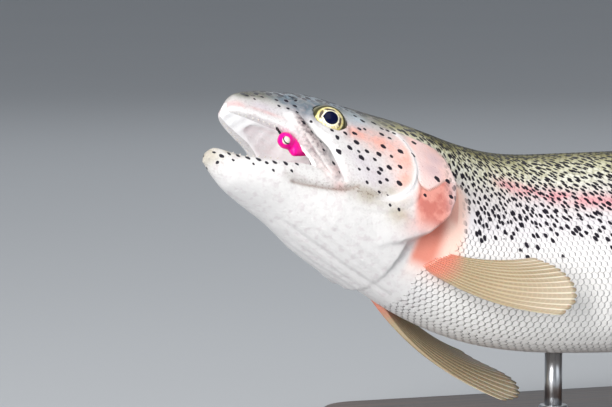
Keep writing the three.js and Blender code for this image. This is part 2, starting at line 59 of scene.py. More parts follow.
Array = np.ndarray
Mesh = bpy.types.Mesh
Piece = bpy.types.Object
Corners = Sequence[Sequence[float]]
Vector3 = tuple[float, float, float]

MM = 0.001
BODY = "root"
SEED = 11

# ---------------------------------------------------------------- driving dimensions, millimetres

SKIN_JOIN = 118.0          # where the sculpted head meets the plain length of trunk
NET_START = 90             # where the even net that carries the scales starts
TAIL_ROOT = 480.0
TOTAL_LENGTH = 546.0
COAT_DEPTH = 0.35          # how far the skin lies inside the scales' outer surface
EYE_PLACE = (47.4, 12.7, 12.1)
EYE_RADIUS = 9.6
EYE_FORWARD = math.radians(23.0)
EYE_DOWN = math.radians(8.0)
SPINE_HEIGHT = 86.0
SPINE_ANCHOR = 225
SPINE_START = -20
BASE_TOP = 14.0
RODS = ("stand_rod_front", "stand_rod_rear")
ROD_RADIUS = 4.0


@dataclass(frozen=True)
class Curve:
    """A smooth curve through a few points that never overshoots them (monotone cubic)."""

    points: tuple[tuple[float, float], ...]

    def __call__(self, at: Array | float) -> Array:
        """Reads the curve.

        Args:
            at: Places along the curve; past its ends it stays level.

        Returns:
            The curve's height at each place.
        """
        xs, ys = np.array(self.points, dtype=float).T
        slope = np.diff(ys) / np.diff(xs)
        before, after = slope[:-1], slope[1:]
        same = before * after > 0
        inner = np.where(same, 2 / (1 / np.where(same, before, 1) + 1 / np.where(same, after, 1)), 0.0)
        tangent = np.concatenate([slope[:1], inner, slope[-1:]])
        x = np.clip(np.asarray(at, dtype=float), xs[0], xs[-1])
        i = np.clip(np.searchsorted(xs, x, side="right") - 1, 0, len(xs) - 2)
        span = xs[i + 1] - xs[i]
        t = (x - xs[i]) / span
        low = ys[i] * (2 * t**3 - 3 * t**2 + 1) + tangent[i] * span * (t**3 - 2 * t**2 + t)
        return low + ys[i + 1] * (3 * t**2 - 2 * t**3) + tangent[i + 1] * span * (t**3 - t**2)


def smooth(low: float, high: float, value: Array) -> Array:
    """An even step from 0 at `low` to 1 at `high`."""
    t = np.clip((value - low) / (high - low), 0.0, 1.0)
    return t * t * (3 - 2 * t)

def bell(gap: Array, width: float) -> Array:
    """1 where the gap is nothing, falling away evenly to a third at `width` and to nothing beyond it."""
    return np.exp(-((gap / width) ** 2))


def read_line(corners: Corners, at: Array) -> Array:
    """The height of a line through its corners, straight between them."""
    return np.interp(at, *np.transpose(corners))


# ---------------------------------------------------------------- outlines of the body, along its length

CREST = Curve(((0, 3.5), (3, 11), (13, 18.8), (28, 26.8), (43, 33), (58, 36.3), (78, 41), (98, 45.5),
               (113, 49.5), (151, 56), (197, 59), (230, 58.5), (273, 55), (317, 49), (360, 41.5), (404, 33.5),
               (436, 28), (458, 25.5), (482, 26.5)))
KEEL = Curve(((90, -44), (120, -47), (151, -51), (208, -56), (262, -55), (306, -50), (350, -41), (393, -31),
              (436, -25), (458, -23), (482, -24)))
TRUNK_WIDTH = Curve(((90, 26.5), (110, 28), (151, 29.5), (208, 30), (262, 28.5), (317, 24.5), (371, 18.5),
                     (426, 12), (458, 8.2), (482, 4.5)))
SHOULDER_WIDTH = Curve(((85, 31.8), (96, 33), (110, 31.6), (124, 30.2), (140, 29.4), (151, 29.5)))
TRUNK_LEVEL = Curve(((90, -3), (210, -1), (480, 0)))
SKULL_UNDERSIDE = Curve(((0, -1), (21, -1.2), (28, -2.5), (37, -10), (45, -22), (55, -33), (65, -39.5),
                         (80, -42.5), (96, -44.2), (112, -45)))
HEAD_WIDTH = Curve(((0, 2.8), (3, 5.8), (8, 8.2), (15, 10.6), (21, 12.4), (28, 15), (37, 18.3), (45, 21.8),
                    (60, 25.5), (75, 29), (85, 31.8), (96, 33.5), (110, 35.5)))
CORE_WIDTH = Curve(((60, 20), (75, 25), (85, 26.6), (96, 26.8), (112, 28)))
HEAD_LEVEL = Curve(((0, 0), (21, -0.5), (37, -3), (60, -6), (96, -3), (112, -3)))
UNDERSIDE_POWER = Curve(((0, 5), (24, 5), (45, 3.2), (70, 2.4), (112, 2.2)))
JAW_TOP = Curve(((-6.5, -26), (-3.6, -22.8), (5, -22.7), (15.8, -20.6), (27, -17.6), (40, -14.5), (57, -17)))
JAW_KEEL = Curve(((-6.5, -29.5), (-1, -33), (10, -36.4), (28, -37), (45, -39.2), (57, -41)))
JAW_WIDTH = Curve(((-6.5, 2.2), (-4, 3.9), (0, 5.8), (5.3, 7.8), (15.8, 12), (27, 15.6), (40, 18.6),
                   (57, 22.4)))
UNDERLINE = Curve(((-6.5, -30), (10, -36.4), (28, -37), (57, -41), (80, -43), (96, -44.5), (120, -47),
                   (151, -51), (208, -56), (262, -55), (306, -50), (350, -41), (393, -31), (436, -25),
                   (482, -24)))

Fullness = Curve | float


@dataclass(frozen=True)
class Section:
    """A run of rounded cross-sections: widest at `level`, with its own fullness above and below."""

    crest: Curve
    keel: Curve
    width: Curve
    level: Curve
    above: Fullness
    below: Fullness

    def shape(self, x: Array, upper: Array) -> tuple[Array, Array, Array]:
        """The section's level at x, and its fullness and height above or below that."""
        level = self.level(x)
        power = np.where(upper, read(self.above, x), read(self.below, x))
        return level, power, np.where(upper, self.crest(x) - level, level - self.keel(x))

    def ring(self, x: Array, angle: Array, grow: float = 0.0) -> Array:
        """Points on the sections' outline.

        Args:
            x: Places along the body.
            angle: Turn round the section from the left flank, towards the back.
            grow: How far outside the outline, in millimetres.

        Returns:
            One body-coordinate point for each place and angle.
        """
        across, up = np.cos(angle), np.sin(angle)
        level, power, height = self.shape(x, up > 0)
        y = (self.width(x) + grow) * np.sign(across) * np.abs(across) ** (2 / power)
        z = level + (height + grow) * np.sign(up) * np.abs(up) ** (2 / power)
        return np.stack([x, y, z], axis=-1)

    def side(self, x: Array, z: Array) -> Array:
        """Half the width of the section at height z."""
        level, power, height = self.shape(x, z > self.level(x))
        reach = np.clip(np.abs(z - level) / height, 0.0, 1.0)
        return self.width(x) * (1 - reach**power) ** (1 / power)

    def depth(self, points: Array) -> Array:
        """Roughly how far inside the outline each point is, in millimetres; negative outside."""
        x, y, z = points.T
        level, power, height = self.shape(x, z > self.level(x))
        width = self.width(x)
        reach = (np.abs(y / width) ** power + np.abs((z - level) / height) ** power) ** (1 / power)
        return (1 - reach) * np.minimum(width, height)


def read(value: Fullness, x: Array) -> Array | float:
    """The value of a curve at x, or of a plain number."""
    return value(x) if isinstance(value, Curve) else value


HEAD = Section(CREST, SKULL_UNDERSIDE, HEAD_WIDTH, HEAD_LEVEL, 1.8, UNDERSIDE_POWER)
TRUNK = Section(CREST, KEEL, TRUNK_WIDTH, TRUNK_LEVEL, 1.85, 2.1)
MOUTH_ROOF = Curve(((12, -0.4), (20, 2.2), (32, 3.2), (42, 0), (55, -7), (70, -14), (84, -19)))
MOUTH_FLOOR = Curve(((12, -34), (56, -31), (70, -27), (84, -23)))
MOUTH_MIDDLE = Curve(((12, -16.5), (42, -16), (56, -19), (70, -20.5), (84, -21)))
MOUTH_WIDTH = Curve(((12, 4), (20, 9.5), (32, 12.6), (44, 14), (60, 13), (74, 10), (84, 5)))
MOUTH = Section(MOUTH_ROOF, MOUTH_FLOOR, MOUTH_WIDTH, MOUTH_MIDDLE, 2.4, 2.4)
JAW_LEVEL = Curve(tuple((x, z - 5) for x, z in JAW_TOP.points))
JAW = Section(JAW_TOP, JAW_KEEL, JAW_WIDTH, JAW_LEVEL, 3.2, 2.1)
TROUGH_WIDTH = Curve(((-1, 0.8), (1, 2.4), (5.3, 4.9), (15.8, 9), (27, 12.6), (40, 15.6), (60, 19)))
TROUGH_FLOOR = Curve(((-1, -24), (3, -26), (8, -28.5), (30, -31.5), (60, -31.5)))
TROUGH = Section(Curve(((-1, 0), (60, 0))), TROUGH_FLOOR, TROUGH_WIDTH, Curve(((-1, -18), (60, -18))),
                 3.0, 2.4)


class Spine:
    """The curved line that carries the straight body, with its frame at every millimetre."""

    # place along the fish, heading, head-up pitch and bank in degrees
    POSE = ((0, 9, 29, 32), (94, 9, 29, 32), (195, 0, 0, 49), (270, 1, 0, 45), (360, 7, 6, 40),
            (480, -6, -4, 33), (550, -8, -6, 31))

    def __init__(self) -> None:
        """Lays the spine out in one-millimetre steps."""
        at = np.arange(SPINE_START, TOTAL_LENGTH + 21)
        pose = np.array(self.POSE, dtype=float)
        yaw, rise, roll = (np.radians(Curve(tuple(zip(pose[:, 0], pose[:, k])))(at)) for k in (1, 2, 3))
        tailward = np.stack([np.cos(rise) * np.cos(yaw), np.cos(rise) * np.sin(yaw), -np.sin(rise)], axis=-1)
        level = np.stack([np.sin(yaw), -np.cos(yaw), np.zeros_like(yaw)], axis=-1)
        upright = -np.cross(tailward, level)
        cosine, sine = np.cos(roll)[:, None], np.sin(roll)[:, None]
        self.left = level * cosine + upright * sine
        self.back = upright * cosine - level * sine
        strides = 0.5 * (tailward[1:] + tailward[:-1])
        place = np.concatenate([np.zeros((1, 3)), np.cumsum(strides, axis=0)])
        self.place = place - place[SPINE_ANCHOR - SPINE_START] + np.array([0, 0, SPINE_HEIGHT])

    def carry(self, points: Array) -> Array:
        """Carries body-coordinate points onto the spine.

        Args:
            points: Body coordinates in millimetres, one row each.

        Returns:
            Their places in the frame, in metres.
        """
        along = points[:, 0] - SPINE_START
        low = np.clip(np.floor(along).astype(int), 0, len(self.place) - 2)
        t = (along - low)[:, None]
        frames = (self.place, self.left, self.back)
        place, left, back = ((1 - t) * rows[low] + t * rows[low + 1] for rows in frames)
        return (place + left * points[:, 1:2] + back * points[:, 2:3]) * MM


SPINE = Spine()

# ---------------------------------------------------------------- mesh helpers


def coordinates(mesh: Mesh) -> Array:
    """The mesh's vertex places, one row each."""
    flat = np.empty(len(mesh.vertices) * 3, dtype=np.float32)
    mesh.vertices.foreach_get("co", flat)
    return flat.reshape(-1, 3).astype(float)


def set_coordinates(mesh: Mesh, points: Array) -> None:
    """Moves every vertex of the mesh to its row of points."""
    mesh.vertices.foreach_set("co", points.astype(np.float32).ravel())
    mesh.update()


def store(mesh: Mesh, name: str, values: Array) -> None:
    """Keeps a number or a vector for every vertex as a named attribute."""
    if values.ndim == 1:
        mesh.attributes.new(name, "FLOAT", "POINT").data.foreach_set("value", values.astype(np.float32))
    else:
        layer = mesh.attributes.new(name, "FLOAT_VECTOR", "POINT")
        layer.data.foreach_set("vector", values.astype(np.float32).ravel())


def mesh_from(bm: bmesh.types.BMesh, name: str) -> Mesh:
    """Turns a finished bmesh into a mesh and frees it."""
    mesh = bpy.data.meshes.new(name)
    bm.to_mesh(mesh)
    bm.free()
    return mesh


def place_object(mesh: Mesh, name: str, flat: Array | None = None) -> Piece:
    """Puts a mesh in the scene at the origin, smooth-shaded but for the faces marked as flat."""
    mesh.name = name
    mesh.shade_smooth()
    if flat is not None:
        mesh.polygons.foreach_set("use_smooth", ~flat)
    piece = bpy.data.objects.new(name, mesh)
    bpy.context.scene.collection.objects.link(piece)
    return piece


def finished(mesh: Mesh, name: str, material: bpy.types.Material,
             nodes: Sequence[str] = (), flat: Array | None = None) -> Piece:
    """Puts a finished mesh in the scene as a piece of the model.

    Args:
        mesh: The mesh, in its place in the frame.
        name: The piece's name.
        material: The piece's material.
        nodes: The CAD nodes that it replaces.
        flat: Which faces are shaded flat.

    Returns:
        The piece.
    """
    piece = place_object(mesh, name, flat)
    mesh.materials.append(material)
    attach(piece, BODY)
    if nodes:
        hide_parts(*nodes)
    return piece


def modified(mesh: Mesh, kind: str, other: Mesh | None = None,
             **settings) -> Mesh:
    """The mesh after one modifier.

    Args:
        mesh: The mesh to change.
        kind: Blender's name of the modifier.
        other: The second mesh of a boolean.
        settings: The modifier's settings.

    Returns:
        A new mesh with the modifier applied.
    """
    scratch = [bpy.data.objects.new("scratch", m) for m in (mesh, other) if m is not None]
    for item in scratch:
        bpy.context.scene.collection.objects.link(item)
    modifier = scratch[0].modifiers.new(kind, kind)
    for key, value in settings.items():
        setattr(modifier, key, value)
    if other is not None:
        modifier.object = scratch[1]
    depsgraph = bpy.context.evaluated_depsgraph_get()
    result = bpy.data.meshes.new_from_object(scratch[0].evaluated_get(depsgraph))
    for item in scratch:
        bpy.data.objects.remove(item)
    return result


def cut(mesh: Mesh, tool: Mesh, operation: str = "DIFFERENCE") -> Mesh:
    """One mesh cut by, or kept inside, another."""
    return modified(mesh, "BOOLEAN", tool, operation=operation, solver="MANIFOLD")


Outline = Callable[[Array, Array], Array]


def lofted(name: str, stations: Sequence[float], around: int, outline: Outline) -> Mesh:
    """A closed body through rings, drawn together to a point at both ends.

    Args:
        name: The mesh's name.
        stations: The rings' places.
        around: Points round each ring.
        outline: Gives the point at a place and an angle.

    Returns:
        The mesh, in body coordinates.
    """
    bm = bmesh.new()
    last = len(stations) - 1
    bmesh.ops.create_grid(bm, x_segments=last, y_segments=around, size=1.0)
    grid = np.array([vertex.co[:2] for vertex in bm.verts])
    index = np.rint((grid[:, 0] + 1) / 2 * last).astype(int)
    points = outline(np.asarray(stations, dtype=float)[index], grid[:, 1] * math.pi)
    for end in (0, last):
        points[index == end] = points[index == end].mean(axis=0)
    for vertex, point in zip(bm.verts, points):
        vertex.co = point
    bmesh.ops.remove_doubles(bm, verts=bm.verts, dist=1e-4)
    bmesh.ops.recalc_face_normals(bm, faces=bm.faces)
    return mesh_from(bm, name)


def sphere(centre: Sequence[float], radius: float, segments: int = 48) -> Mesh:
    """A closed ball."""
    bm = bmesh.new()
    bmesh.ops.create_uvsphere(bm, u_segments=segments, v_segments=segments // 2, radius=radius,
                              matrix=Matrix.Translation(centre))
    return mesh_from(bm, "ball")


def push_up(bm: bmesh.types.BMesh, shift: Sequence[float]) -> None:
    """Extrudes every face of an open sheet by a shift, as a closed slab."""
    grown = bmesh.ops.extrude_face_region(bm, geom=bm.faces[:], use_keep_orig=True)["geom"]
    corners = [item for item in grown if isinstance(item, bmesh.types.BMVert)]
    bmesh.ops.translate(bm, verts=corners, vec=shift)


def block(outline: Corners, inner: float, outer: float) -> Mesh:
    """An x-z outline extruded from one y to another."""
    bm = bmesh.new()
    bmesh.ops.contextual_create(bm, geom=[bm.verts.new((x, inner, z)) for x, z in outline])
    push_up(bm, (0, outer - inner, 0))
    bmesh.ops.recalc_face_normals(bm, faces=bm.faces)
    return mesh_from(bm, "block")


def joined(meshes: Sequence[Mesh], name: str) -> Mesh:
    """Several meshes as one."""
    bm = bmesh.new()
    for mesh in meshes:
        bm.from_mesh(mesh)
    return mesh_from(bm, name)


def soften(bm: bmesh.types.BMesh, edges: list[bmesh.types.BMEdge], width: float, steps: int) -> None:
    """Rounds edges off."""
    bmesh.ops.bevel(bm, geom=edges, offset=width, offset_type="OFFSET", affect="EDGES", segments=steps,
                    profile=0.5, material=-1)


def mirror_copy(mesh: Mesh) -> Mesh:
    """The same mesh on the fish's other side."""
    copy = mesh.copy()
    set_coordinates(copy, coordinates(copy) * np.array([1, -1, 1]))
    copy.flip_normals()
    return copy


def face_outward(mesh: Mesh) -> None:
    """Turns every face of a closed mesh outward."""
    bm = bmesh.new()
    bm.from_mesh(mesh)
    bmesh.ops.recalc_face_normals(bm, faces=bm.faces)
    bm.to_mesh(mesh)
    bm.free()


def relax(bm: bmesh.types.BMesh) -> None:
    """Smooths a mesh once."""
    bmesh.ops.smooth_vert(bm, verts=bm.verts, factor=0.5, use_axis_x=True, use_axis_y=True, use_axis_z=True)


def trim(bm: bmesh.types.BMesh, x: float, side: int) -> None:
    """Cuts a mesh off square at x, on its tail side (1) or its head side (-1)."""
    bmesh.ops.bisect_plane(bm, geom=bm.verts[:] + bm.edges[:] + bm.faces[:], plane_co=(x, 0, 0),
                           plane_no=(side, 0, 0), clear_outer=True)


def face_corners(mesh: Mesh) -> Array:
    """The vertex at each corner of each face."""
    corner = np.empty(len(mesh.loops), dtype=np.int32)
    mesh.loops.foreach_get("vertex_index", corner)
    return corner


def distance_to_line(points: Array, line: Corners) -> tuple[Array, Array]:
    """How far points are from a bent line, and where along it.

    Args:
        points: Rows of two or three coordinates.
        line: The line's corners, with as many coordinates each.

    Returns:
        The distance to the nearest stretch, and how far along the line that is, from 0 to 1.
    """
    corners = np.asarray(line, dtype=float)
    lengths = np.linalg.norm(np.diff(corners, axis=0), axis=1)
    started = np.concatenate([[0.0], np.cumsum(lengths)])
    best = np.full(len(points), np.inf)
    along = np.zeros(len(points))
    for k, length in enumerate(lengths):
        step = corners[k + 1] - corners[k]
        t = np.clip(((points - corners[k]) @ step) / length**2, 0.0, 1.0)
        gap = np.linalg.norm(points - corners[k] - t[:, None] * step, axis=1)
        nearer = gap < best
        best = np.where(nearer, gap, best)
        along = np.where(nearer, (started[k] + t * length) / started[-1], along)
    return best, along


def rounded(line: Corners, per_stretch: int = 6) -> Array:
    """A smooth line through a few corners (Catmull-Rom).

    Args:
        line: The corners.
        per_stretch: Points for each stretch between corners.

    Returns:
        The points of the smooth line.
    """
    p = np.asarray(line, dtype=float)
    p = np.concatenate([[2 * p[0] - p[1]], p, [2 * p[-1] - p[-2]]])
    t = np.linspace(0, 1, per_stretch, endpoint=False)[:, None]
    runs = [0.5 * (2 * b + (c - a) * t + (2 * a - 5 * b + 4 * c - d) * t**2 + (3 * b - a - 3 * c + d) * t**3)
            for a, b, c, d in zip(p, p[1:], p[2:], p[3:])]
    return np.concatenate(runs + [p[-2:-1]])

def read_at_height(line: Array, z: Array) -> Array:
    """How far along the body a line drawn on its side is, at each height."""
    order = np.argsort(line[:, 1])
    return np.interp(z, line[order, 1], line[order, 0])


# ---------------------------------------------------------------- markings, shared by skin, scales and fins

# places on the side of the head: along, height, length of the spot
CHEEK_SPOTS = ((47.5, 1, 2.6), (57, 3, 3.5), (53.5, -2, 3.1), (48.5, -6.5, 3.3), (58, -2, 2.1), (62, 0, 2.7),
               (68, 1, 3.2), (59.5, -5, 3.2), (66, -3, 2.5), (63, -9.5, 2.2), (69, -7, 2.8),
               (68.5, -9.5, 2.6), (73, -4.5, 3.2), (74, 2.5, 2.2), (78.5, 7.5, 3.5), (78, -2, 2.8),
               (70.5, 7, 3.3), (71, 15.5, 2.9), (74.5, 14.5, 2.5), (63, 21, 3.1), (72.5, -11.5, 2.5),
               (69.5, -14, 2.3), (63.5, -16.5, 2), (78.5, -11, 3.3), (70, -19, 2), (74, -19, 2),
               (59, -11.5, 1.9), (76.5, -22.5, 1.9), (81, -23, 2), (84.5, 8, 3), (87, 18, 3),
               (97, 0, 3.4), (103, 1.5, 3.2), (91.5, -11.5, 2.1), (105, -6.5, 2.8), (57.5, 27, 2.3),
               (60, 23, 2.2), (69, 23, 3), (72, 20.5, 2.4), (75, 20.5, 2.5), (78, 20, 2.5),
               (59.5, 13, 2.4), (62.5, 14.5, 2.2), (56.5, 8.5, 3), (51.5, 5.5, 2.6), (45, 4.5, 2.4),
               (81, 15, 2.2))
SNOUT_SPOTS = ((8, 11, 2.4), (11, 9.5, 1.7), (13.5, 15.5, 2.6), (15, 13, 2.1), (21.5, 14, 2.2),
               (26, 15.5, 2.4), (22, 10, 1.8), (26, 10, 2), (29.5, 13.5, 2.4), (30, 9.5, 1.9),
               (18.5, 18.5, 2.2), (31, 19, 2.1), (36, 6, 1.9), (24, 20, 2), (38, 25, 2.2), (33, 24.5, 2.4),
               (46, 27.5, 2.2), (53, 30, 2.4))
MAXILLA_SPOTS = ((31.5, 2.5, 2.3), (35.5, -1, 2.3), (40, -4.5, 2), (41, -9, 1.7), (46.5, -14, 2.4),
                 (50, -17, 1.6))
JAW_SPOTS = ((-1.5, -28, 2.5), (1.5, -25.6, 2.1), (5.5, -25.2, 2.2), (9.5, -25, 2.4), (14, -24.2, 2.6),
             (17.5, -24.8, 2), (21, -23.2, 2.3), (26, -21.8, 2.6), (21, -27.5, 1.8), (31, -19.8, 2),
             (-2, -31, 1.5), (3.5, -28.5, 1.5), (12, -27.5, 1.4), (-4.5, -27, 1.6), (29, -24.5, 1.7))
SPOT_SLANT = math.radians(-28.0)
TRUNK_SPOT_SLANT = math.radians(-60.0)
SPOT_SIZE = 0.47           # half a spot's length, less its soft edge
SPOT_FLATNESS = 0.8

# patches of colour on the head, the lilac ones a painted sheen: along, height, two radii
PINK_PATCHES = ((58, 9, 8, 5), (69, 9, 12, 7), (80, 5, 8, 12), (81, -8, 4.5, 7))
SLATE_PATCHES = ((34, 15, 9, 6), (29, 20, 8, 5), (40, 24, 8, 6), (52, 27, 9, 5), (24, 15, 5, 3))
FROST_PATCHES = ((57.5, 15, 5, 6), (60, 20, 6, 5), (54, 10, 3, 3))
LILAC_SHEEN_PATCHES = ((97, 12, 7, 6), (95, 4, 6, 5), (60, -6, 7, 5), (68, -13, 11, 8), (33, 12, 6, 5),
                 (14, 6, 6, 3))
OCHRE_PATCHES = ((-5, -27, 4, 6), (2, -24, 5, 2.2), (76, -18.5, 7, 4.5), (66, -22, 9, 4), (82, -25, 6, 4))
BLUSH_PATCHES = ((3, 3, 4, 2.2), (15, 3, 8, 1.1), (49, -17, 4, 4), (52, -23, 3, 3), (93, -26, 8, 6),
                 (104, -16, 5, 8))

# lines drawn on the side of the head: along, height
PREOPERCLE_EDGE = ((78.5, 20.5), (83, 12), (85.5, 3), (86, -4), (84.5, -11), (79.5, -17.5), (71, -21.5),
                   (62, -23.5))
OPERCLE_SEAM = ((86, -3.5), (89, -7.5), (93, -8), (97.5, -3.5), (102, 1.5), (106.5, 2))
INTEROPERCLE_SEAM = ((90, -7.5), (89.5, -14), (86, -20), (80, -25), (70, -28.5), (60, -30))
MAXILLA_LINE = ((25.6, 7.7), (30.4, 3.8), (35, -2), (42, -9.8), (47.3, -16.2), (50.4, -20))
MAXILLA_BRIM = ((26, 1.6), (31, 2.8), (37, 2.8), (44, 3.5), (51, 2.8))   # its half width, along the body
JAW_CREASE = ((30, -28.8), (41, -26.8), (52, -24.2), (60, -19.8))
JAW_BAND = ((28, -27), (36, -27), (42.5, -26), (50, -24.5), (57.5, -22), (65, -21.5), (74, -20))
STRIPE = Curve(((100, 14), (125, 18), (149, 17), (179, 9.5), (209, 3.5), (260, 1.5), (350, 0.5), (480, 0)))
STRIPE_WIDTH = ((140, 5.4), (480, 3.8))
HEAD_END = 116             # no marking of the head reaches further


@dataclass(frozen=True)
class Markings:
    """Where each colour lies on the fish, as numbers for every point of skin or scale."""

    jitter: float = 1.6    # how far a spot of the right side strays from its place on the left one

    def belt(self, points: Array) -> Array:
        """Height round the body: -1 along the belly, 0 on the flank, 1 along the back."""
        x, _, z = points.T
        level = TRUNK_LEVEL(x)
        above, below = (z - level) / (CREST(x) - level), (z - level) / (level - UNDERLINE(x))
        return np.clip(np.where(z > level, above, below), -1.0, 1.0)

    def spots(self, points: Array) -> Array:
        """Listed spots of the head: above 0 inside a spot, falling away outside."""
        best = np.full(len(points), -1.0)
        rng = np.random.default_rng(SEED)
        along = np.array([math.cos(SPOT_SLANT), 0.0, math.sin(SPOT_SLANT)])
        groups = ((CHEEK_SPOTS, HEAD, False), (SNOUT_SPOTS, HEAD, False), (MAXILLA_SPOTS, HEAD, True),
                  (JAW_SPOTS, JAW, True))
        for group, outline, flat in groups:
            for x, z, length in group:
                for side in (1, -1):
                    shift = rng.uniform(-self.jitter, self.jitter, 2) if side < 0 else np.zeros(2)
                    at = np.array([x + shift[0], 0.0, z + shift[1]])
                    at[1] = side * outline.side(at[0:1], at[2:3])[0]
                    gap = points - at
                    if flat:
                        gap[:, 1] = np.where(points[:, 1] * side > 1.0, 0.0, 99.0)
                    lengthwise = gap @ along
                    crosswise = np.sqrt(np.maximum((gap**2).sum(axis=1) - lengthwise**2, 0.0))
                    reach = np.hypot(lengthwise / (length * SPOT_SIZE),
                                     crosswise / (length * SPOT_SIZE * SPOT_FLATNESS))
                    best = np.maximum(best, 1 - reach)
        return best

    def line(self, points: Array, corners: Corners, width: float) -> Array:
        """How near a point is to a line drawn on the side of the head: 1 on it, 0 far from it."""
        gap, _ = distance_to_line(points[:, [0, 2]], rounded(corners))
        return bell(gap, width)

    def patch(self, points: Array, patches: Corners) -> Array:
        """Soft patches of colour on both sides of the head."""
        x, _, z = points.T
        total = np.zeros(len(points))
        for cx, cz, rx, rz in patches:
            total = np.maximum(total, bell(x - cx, rx) * bell(z - cz, rz))
        return total

    def above_maxilla(self, points: Array) -> Array:
        """Signed distance from the middle of the maxilla, in millimetres, above and behind it positive."""
        x, _, z = points.T
        gap, _ = distance_to_line(points[:, [0, 2]], rounded(MAXILLA_LINE))
        return gap * np.where(z > read_line(MAXILLA_LINE, x), 1.0, -1.0)

    def net(self, points: Array) -> Array:
        """Flat coordinates for the scattered spots, in metres: along the body and down its side."""
        x, y, z = points.T
        down = np.hypot(y, np.maximum(CREST(x) - z, 0.0)) * np.where(y < 0, -1.0, 1.0)
        return np.stack([x, down, np.zeros(len(points))], axis=1) * MM

    def cover(self, points: Array) -> Array:
        """The gill cover behind the preopercle: 1 on it, 0 off it."""
        x, _, z = points.T
        front = read_at_height(rounded(PREOPERCLE_EDGE), z)
        low = smooth(81, 87, x + 0.35 * np.minimum(z + 6, 0)) * smooth(-30, -19, z)
        return smooth(0, 1.2, x - front) * smooth(23, 20.5, z) * low * smooth(108.5, 107, x)

    def fields(self, points: Array, lining: Array | None = None) -> dict[str, Array]:
        """Every marking at each point.

        Args:
            points: Body coordinates in millimetres.
            lining: How far each point is inside the mouth, 0 to 1, or nothing for the outside of the fish.

        Returns:
            Attribute names with their values.
        """
        x, _, z = points.T
        belt = self.belt(points) * (0.45 + 0.55 * smooth(-1, 8, x))
        cover = self.cover(points)
        outside = np.ones(len(points)) if lining is None else 1 - lining
        stripe_gap = (z - STRIPE(x)) / read_line(STRIPE_WIDTH, x)
        head = x < HEAD_END
        local = points[head]
        along, across, up = local.T
        outer = outside[head]
        off = self.above_maxilla(local)
        brim = read_line(MAXILLA_BRIM, along)
        strap = smooth(26, 30, along) * smooth(56, 52, along - 0.12 * up) * outer
        # painted shade: a dark line in the crease along the maxilla's upper rear edge
        groove_shade = bell(off - brim - 0.3, 0.6) * smooth(0, 6, np.abs(across))
        # painted highlight: a white band just beyond the groove behind the lower maxilla
        bright = bell(off - brim - 2.2, 1.9) * smooth(34, 42, along)
        band = smooth(0.3, -0.5, off - brim) * smooth(-6.0, -1.0, off)
        crescent = self.line(local, PREOPERCLE_EDGE, 1.7) * smooth(66, 79, along)
        seams = np.maximum(self.line(local, OPERCLE_SEAM, 0.35), self.line(local, JAW_CREASE, 0.7))
        inside = smooth(1.5, 3, HEAD.side(along, up) - np.abs(across))
        rim = smooth(106.9, 108.2, along) * smooth(-16, -10, up) * smooth(7, 3, up)

        def spread(values: Array, base: float = 0.0) -> Array:
            """Values of the head's points, with one value for all others."""
            total = np.full(len(points), base)
            total[head] = values
            return total

        return {
            "body_pos": points * MM,
            "net_pos": self.net(points),
            "belt": belt,
            "spot": spread(np.where(outer > 0.4, self.spots(local), -1.0), -1.0),
            "pink": spread(self.patch(local, PINK_PATCHES) * outer),
            "slate": spread(np.minimum(1.4 * self.patch(local, SLATE_PATCHES), 1.0) * outer),
            "frost": spread(self.patch(local, FROST_PATCHES) * outer),
            "crease": spread(self.line(local, JAW_BAND, 2.3) * outer),
            "lilac_sheen": spread(self.patch(local, LILAC_SHEEN_PATCHES)),
            "ochre": spread(self.patch(local, OCHRE_PATCHES)),
            "blush": spread(self.patch(local, BLUSH_PATCHES)),
            "cover": cover * outside,
            "sub_cover": (cover * smooth(0.5, -0.5, z - read_line(OPERCLE_SEAM, x)) * smooth(86.5, 89.5, x)
                          * outside),
            "white_edge_and_highlight": spread(np.maximum(crescent, bright * strap) * outer),
            "seam": spread(seams * outer),
            "maxilla": spread(band * strap * smooth(52, 38, along)),
            "groove_shade": spread(groove_shade * strap * smooth(50, 43, along)),
            "trunk": np.maximum(smooth(98, 112, x + 0.25 * np.minimum(z, 0)),
                                smooth(66, 84, x) * smooth(20.5, 23, z)),
            "stripe": bell(stripe_gap, 1.0) * smooth(138, 156, x),
            "lining": np.zeros(len(points)) if lining is None else lining,
            "gill": (smooth(124, 118, x + 0.3 * np.maximum(z, 0)) * spread(inside, 1.0)
                     * smooth(11, 6, z) * smooth(-44, -28, z) * smooth(96, 100, x)),
            "slit": (spread(np.maximum(inside * smooth(114, 106.5, along), 0.5 * rim))
                     * smooth(96, 100, x) * smooth(9, 5, z) * smooth(-38, -33, z)),
            "gullet": smooth(20, 70, x),
        }


MARKINGS = Markings()


# ---------------------------------------------------------------- finishes

def tone(code: str) -> tuple[float, float, float, float]:
    """A linear colour from a six-digit sRGB code."""
    channels = [int(code[i:i + 2], 16) / 255 for i in (0, 2, 4)]
    linear = [c / 12.92 if c <= 0.04045 else ((c + 0.055) / 1.055) ** 2.4 for c in channels]
    return (*linear, 1.0)


class Signal:
    """A number, vector or colour inside a material; arithmetic on it adds the nodes for it."""

    def __init__(self, nodes: "Nodes", socket: bpy.types.NodeSocket) -> None:
        """Wraps an output of one of the material's nodes."""
        self.nodes = nodes
        self.socket = socket

    def __add__(self, other: "Signal | float") -> "Signal":
        """The sum."""
        return self.nodes.math("ADD", self, other)

    def __sub__(self, other: "Signal | float") -> "Signal":
        """The difference."""
        return self.nodes.math("SUBTRACT", self, other)

    def __mul__(self, other: "Signal | float") -> "Signal":
        """The product."""
        return self.nodes.math("MULTIPLY", self, other)

    def __abs__(self) -> "Signal":
        """The number without its sign."""
        return self.nodes.math("ABSOLUTE", self)

    def step(self, low: float, high: float) -> "Signal":
        """An even step from 0 at `low` to 1 at `high`."""
        return self.nodes.add("ShaderNodeMapRange", {"Value": self, "From Min": low, "From Max": high},
                              interpolation_type="SMOOTHSTEP")


Paint = Signal | str                   # a colour: a signal, or a six-digit sRGB code


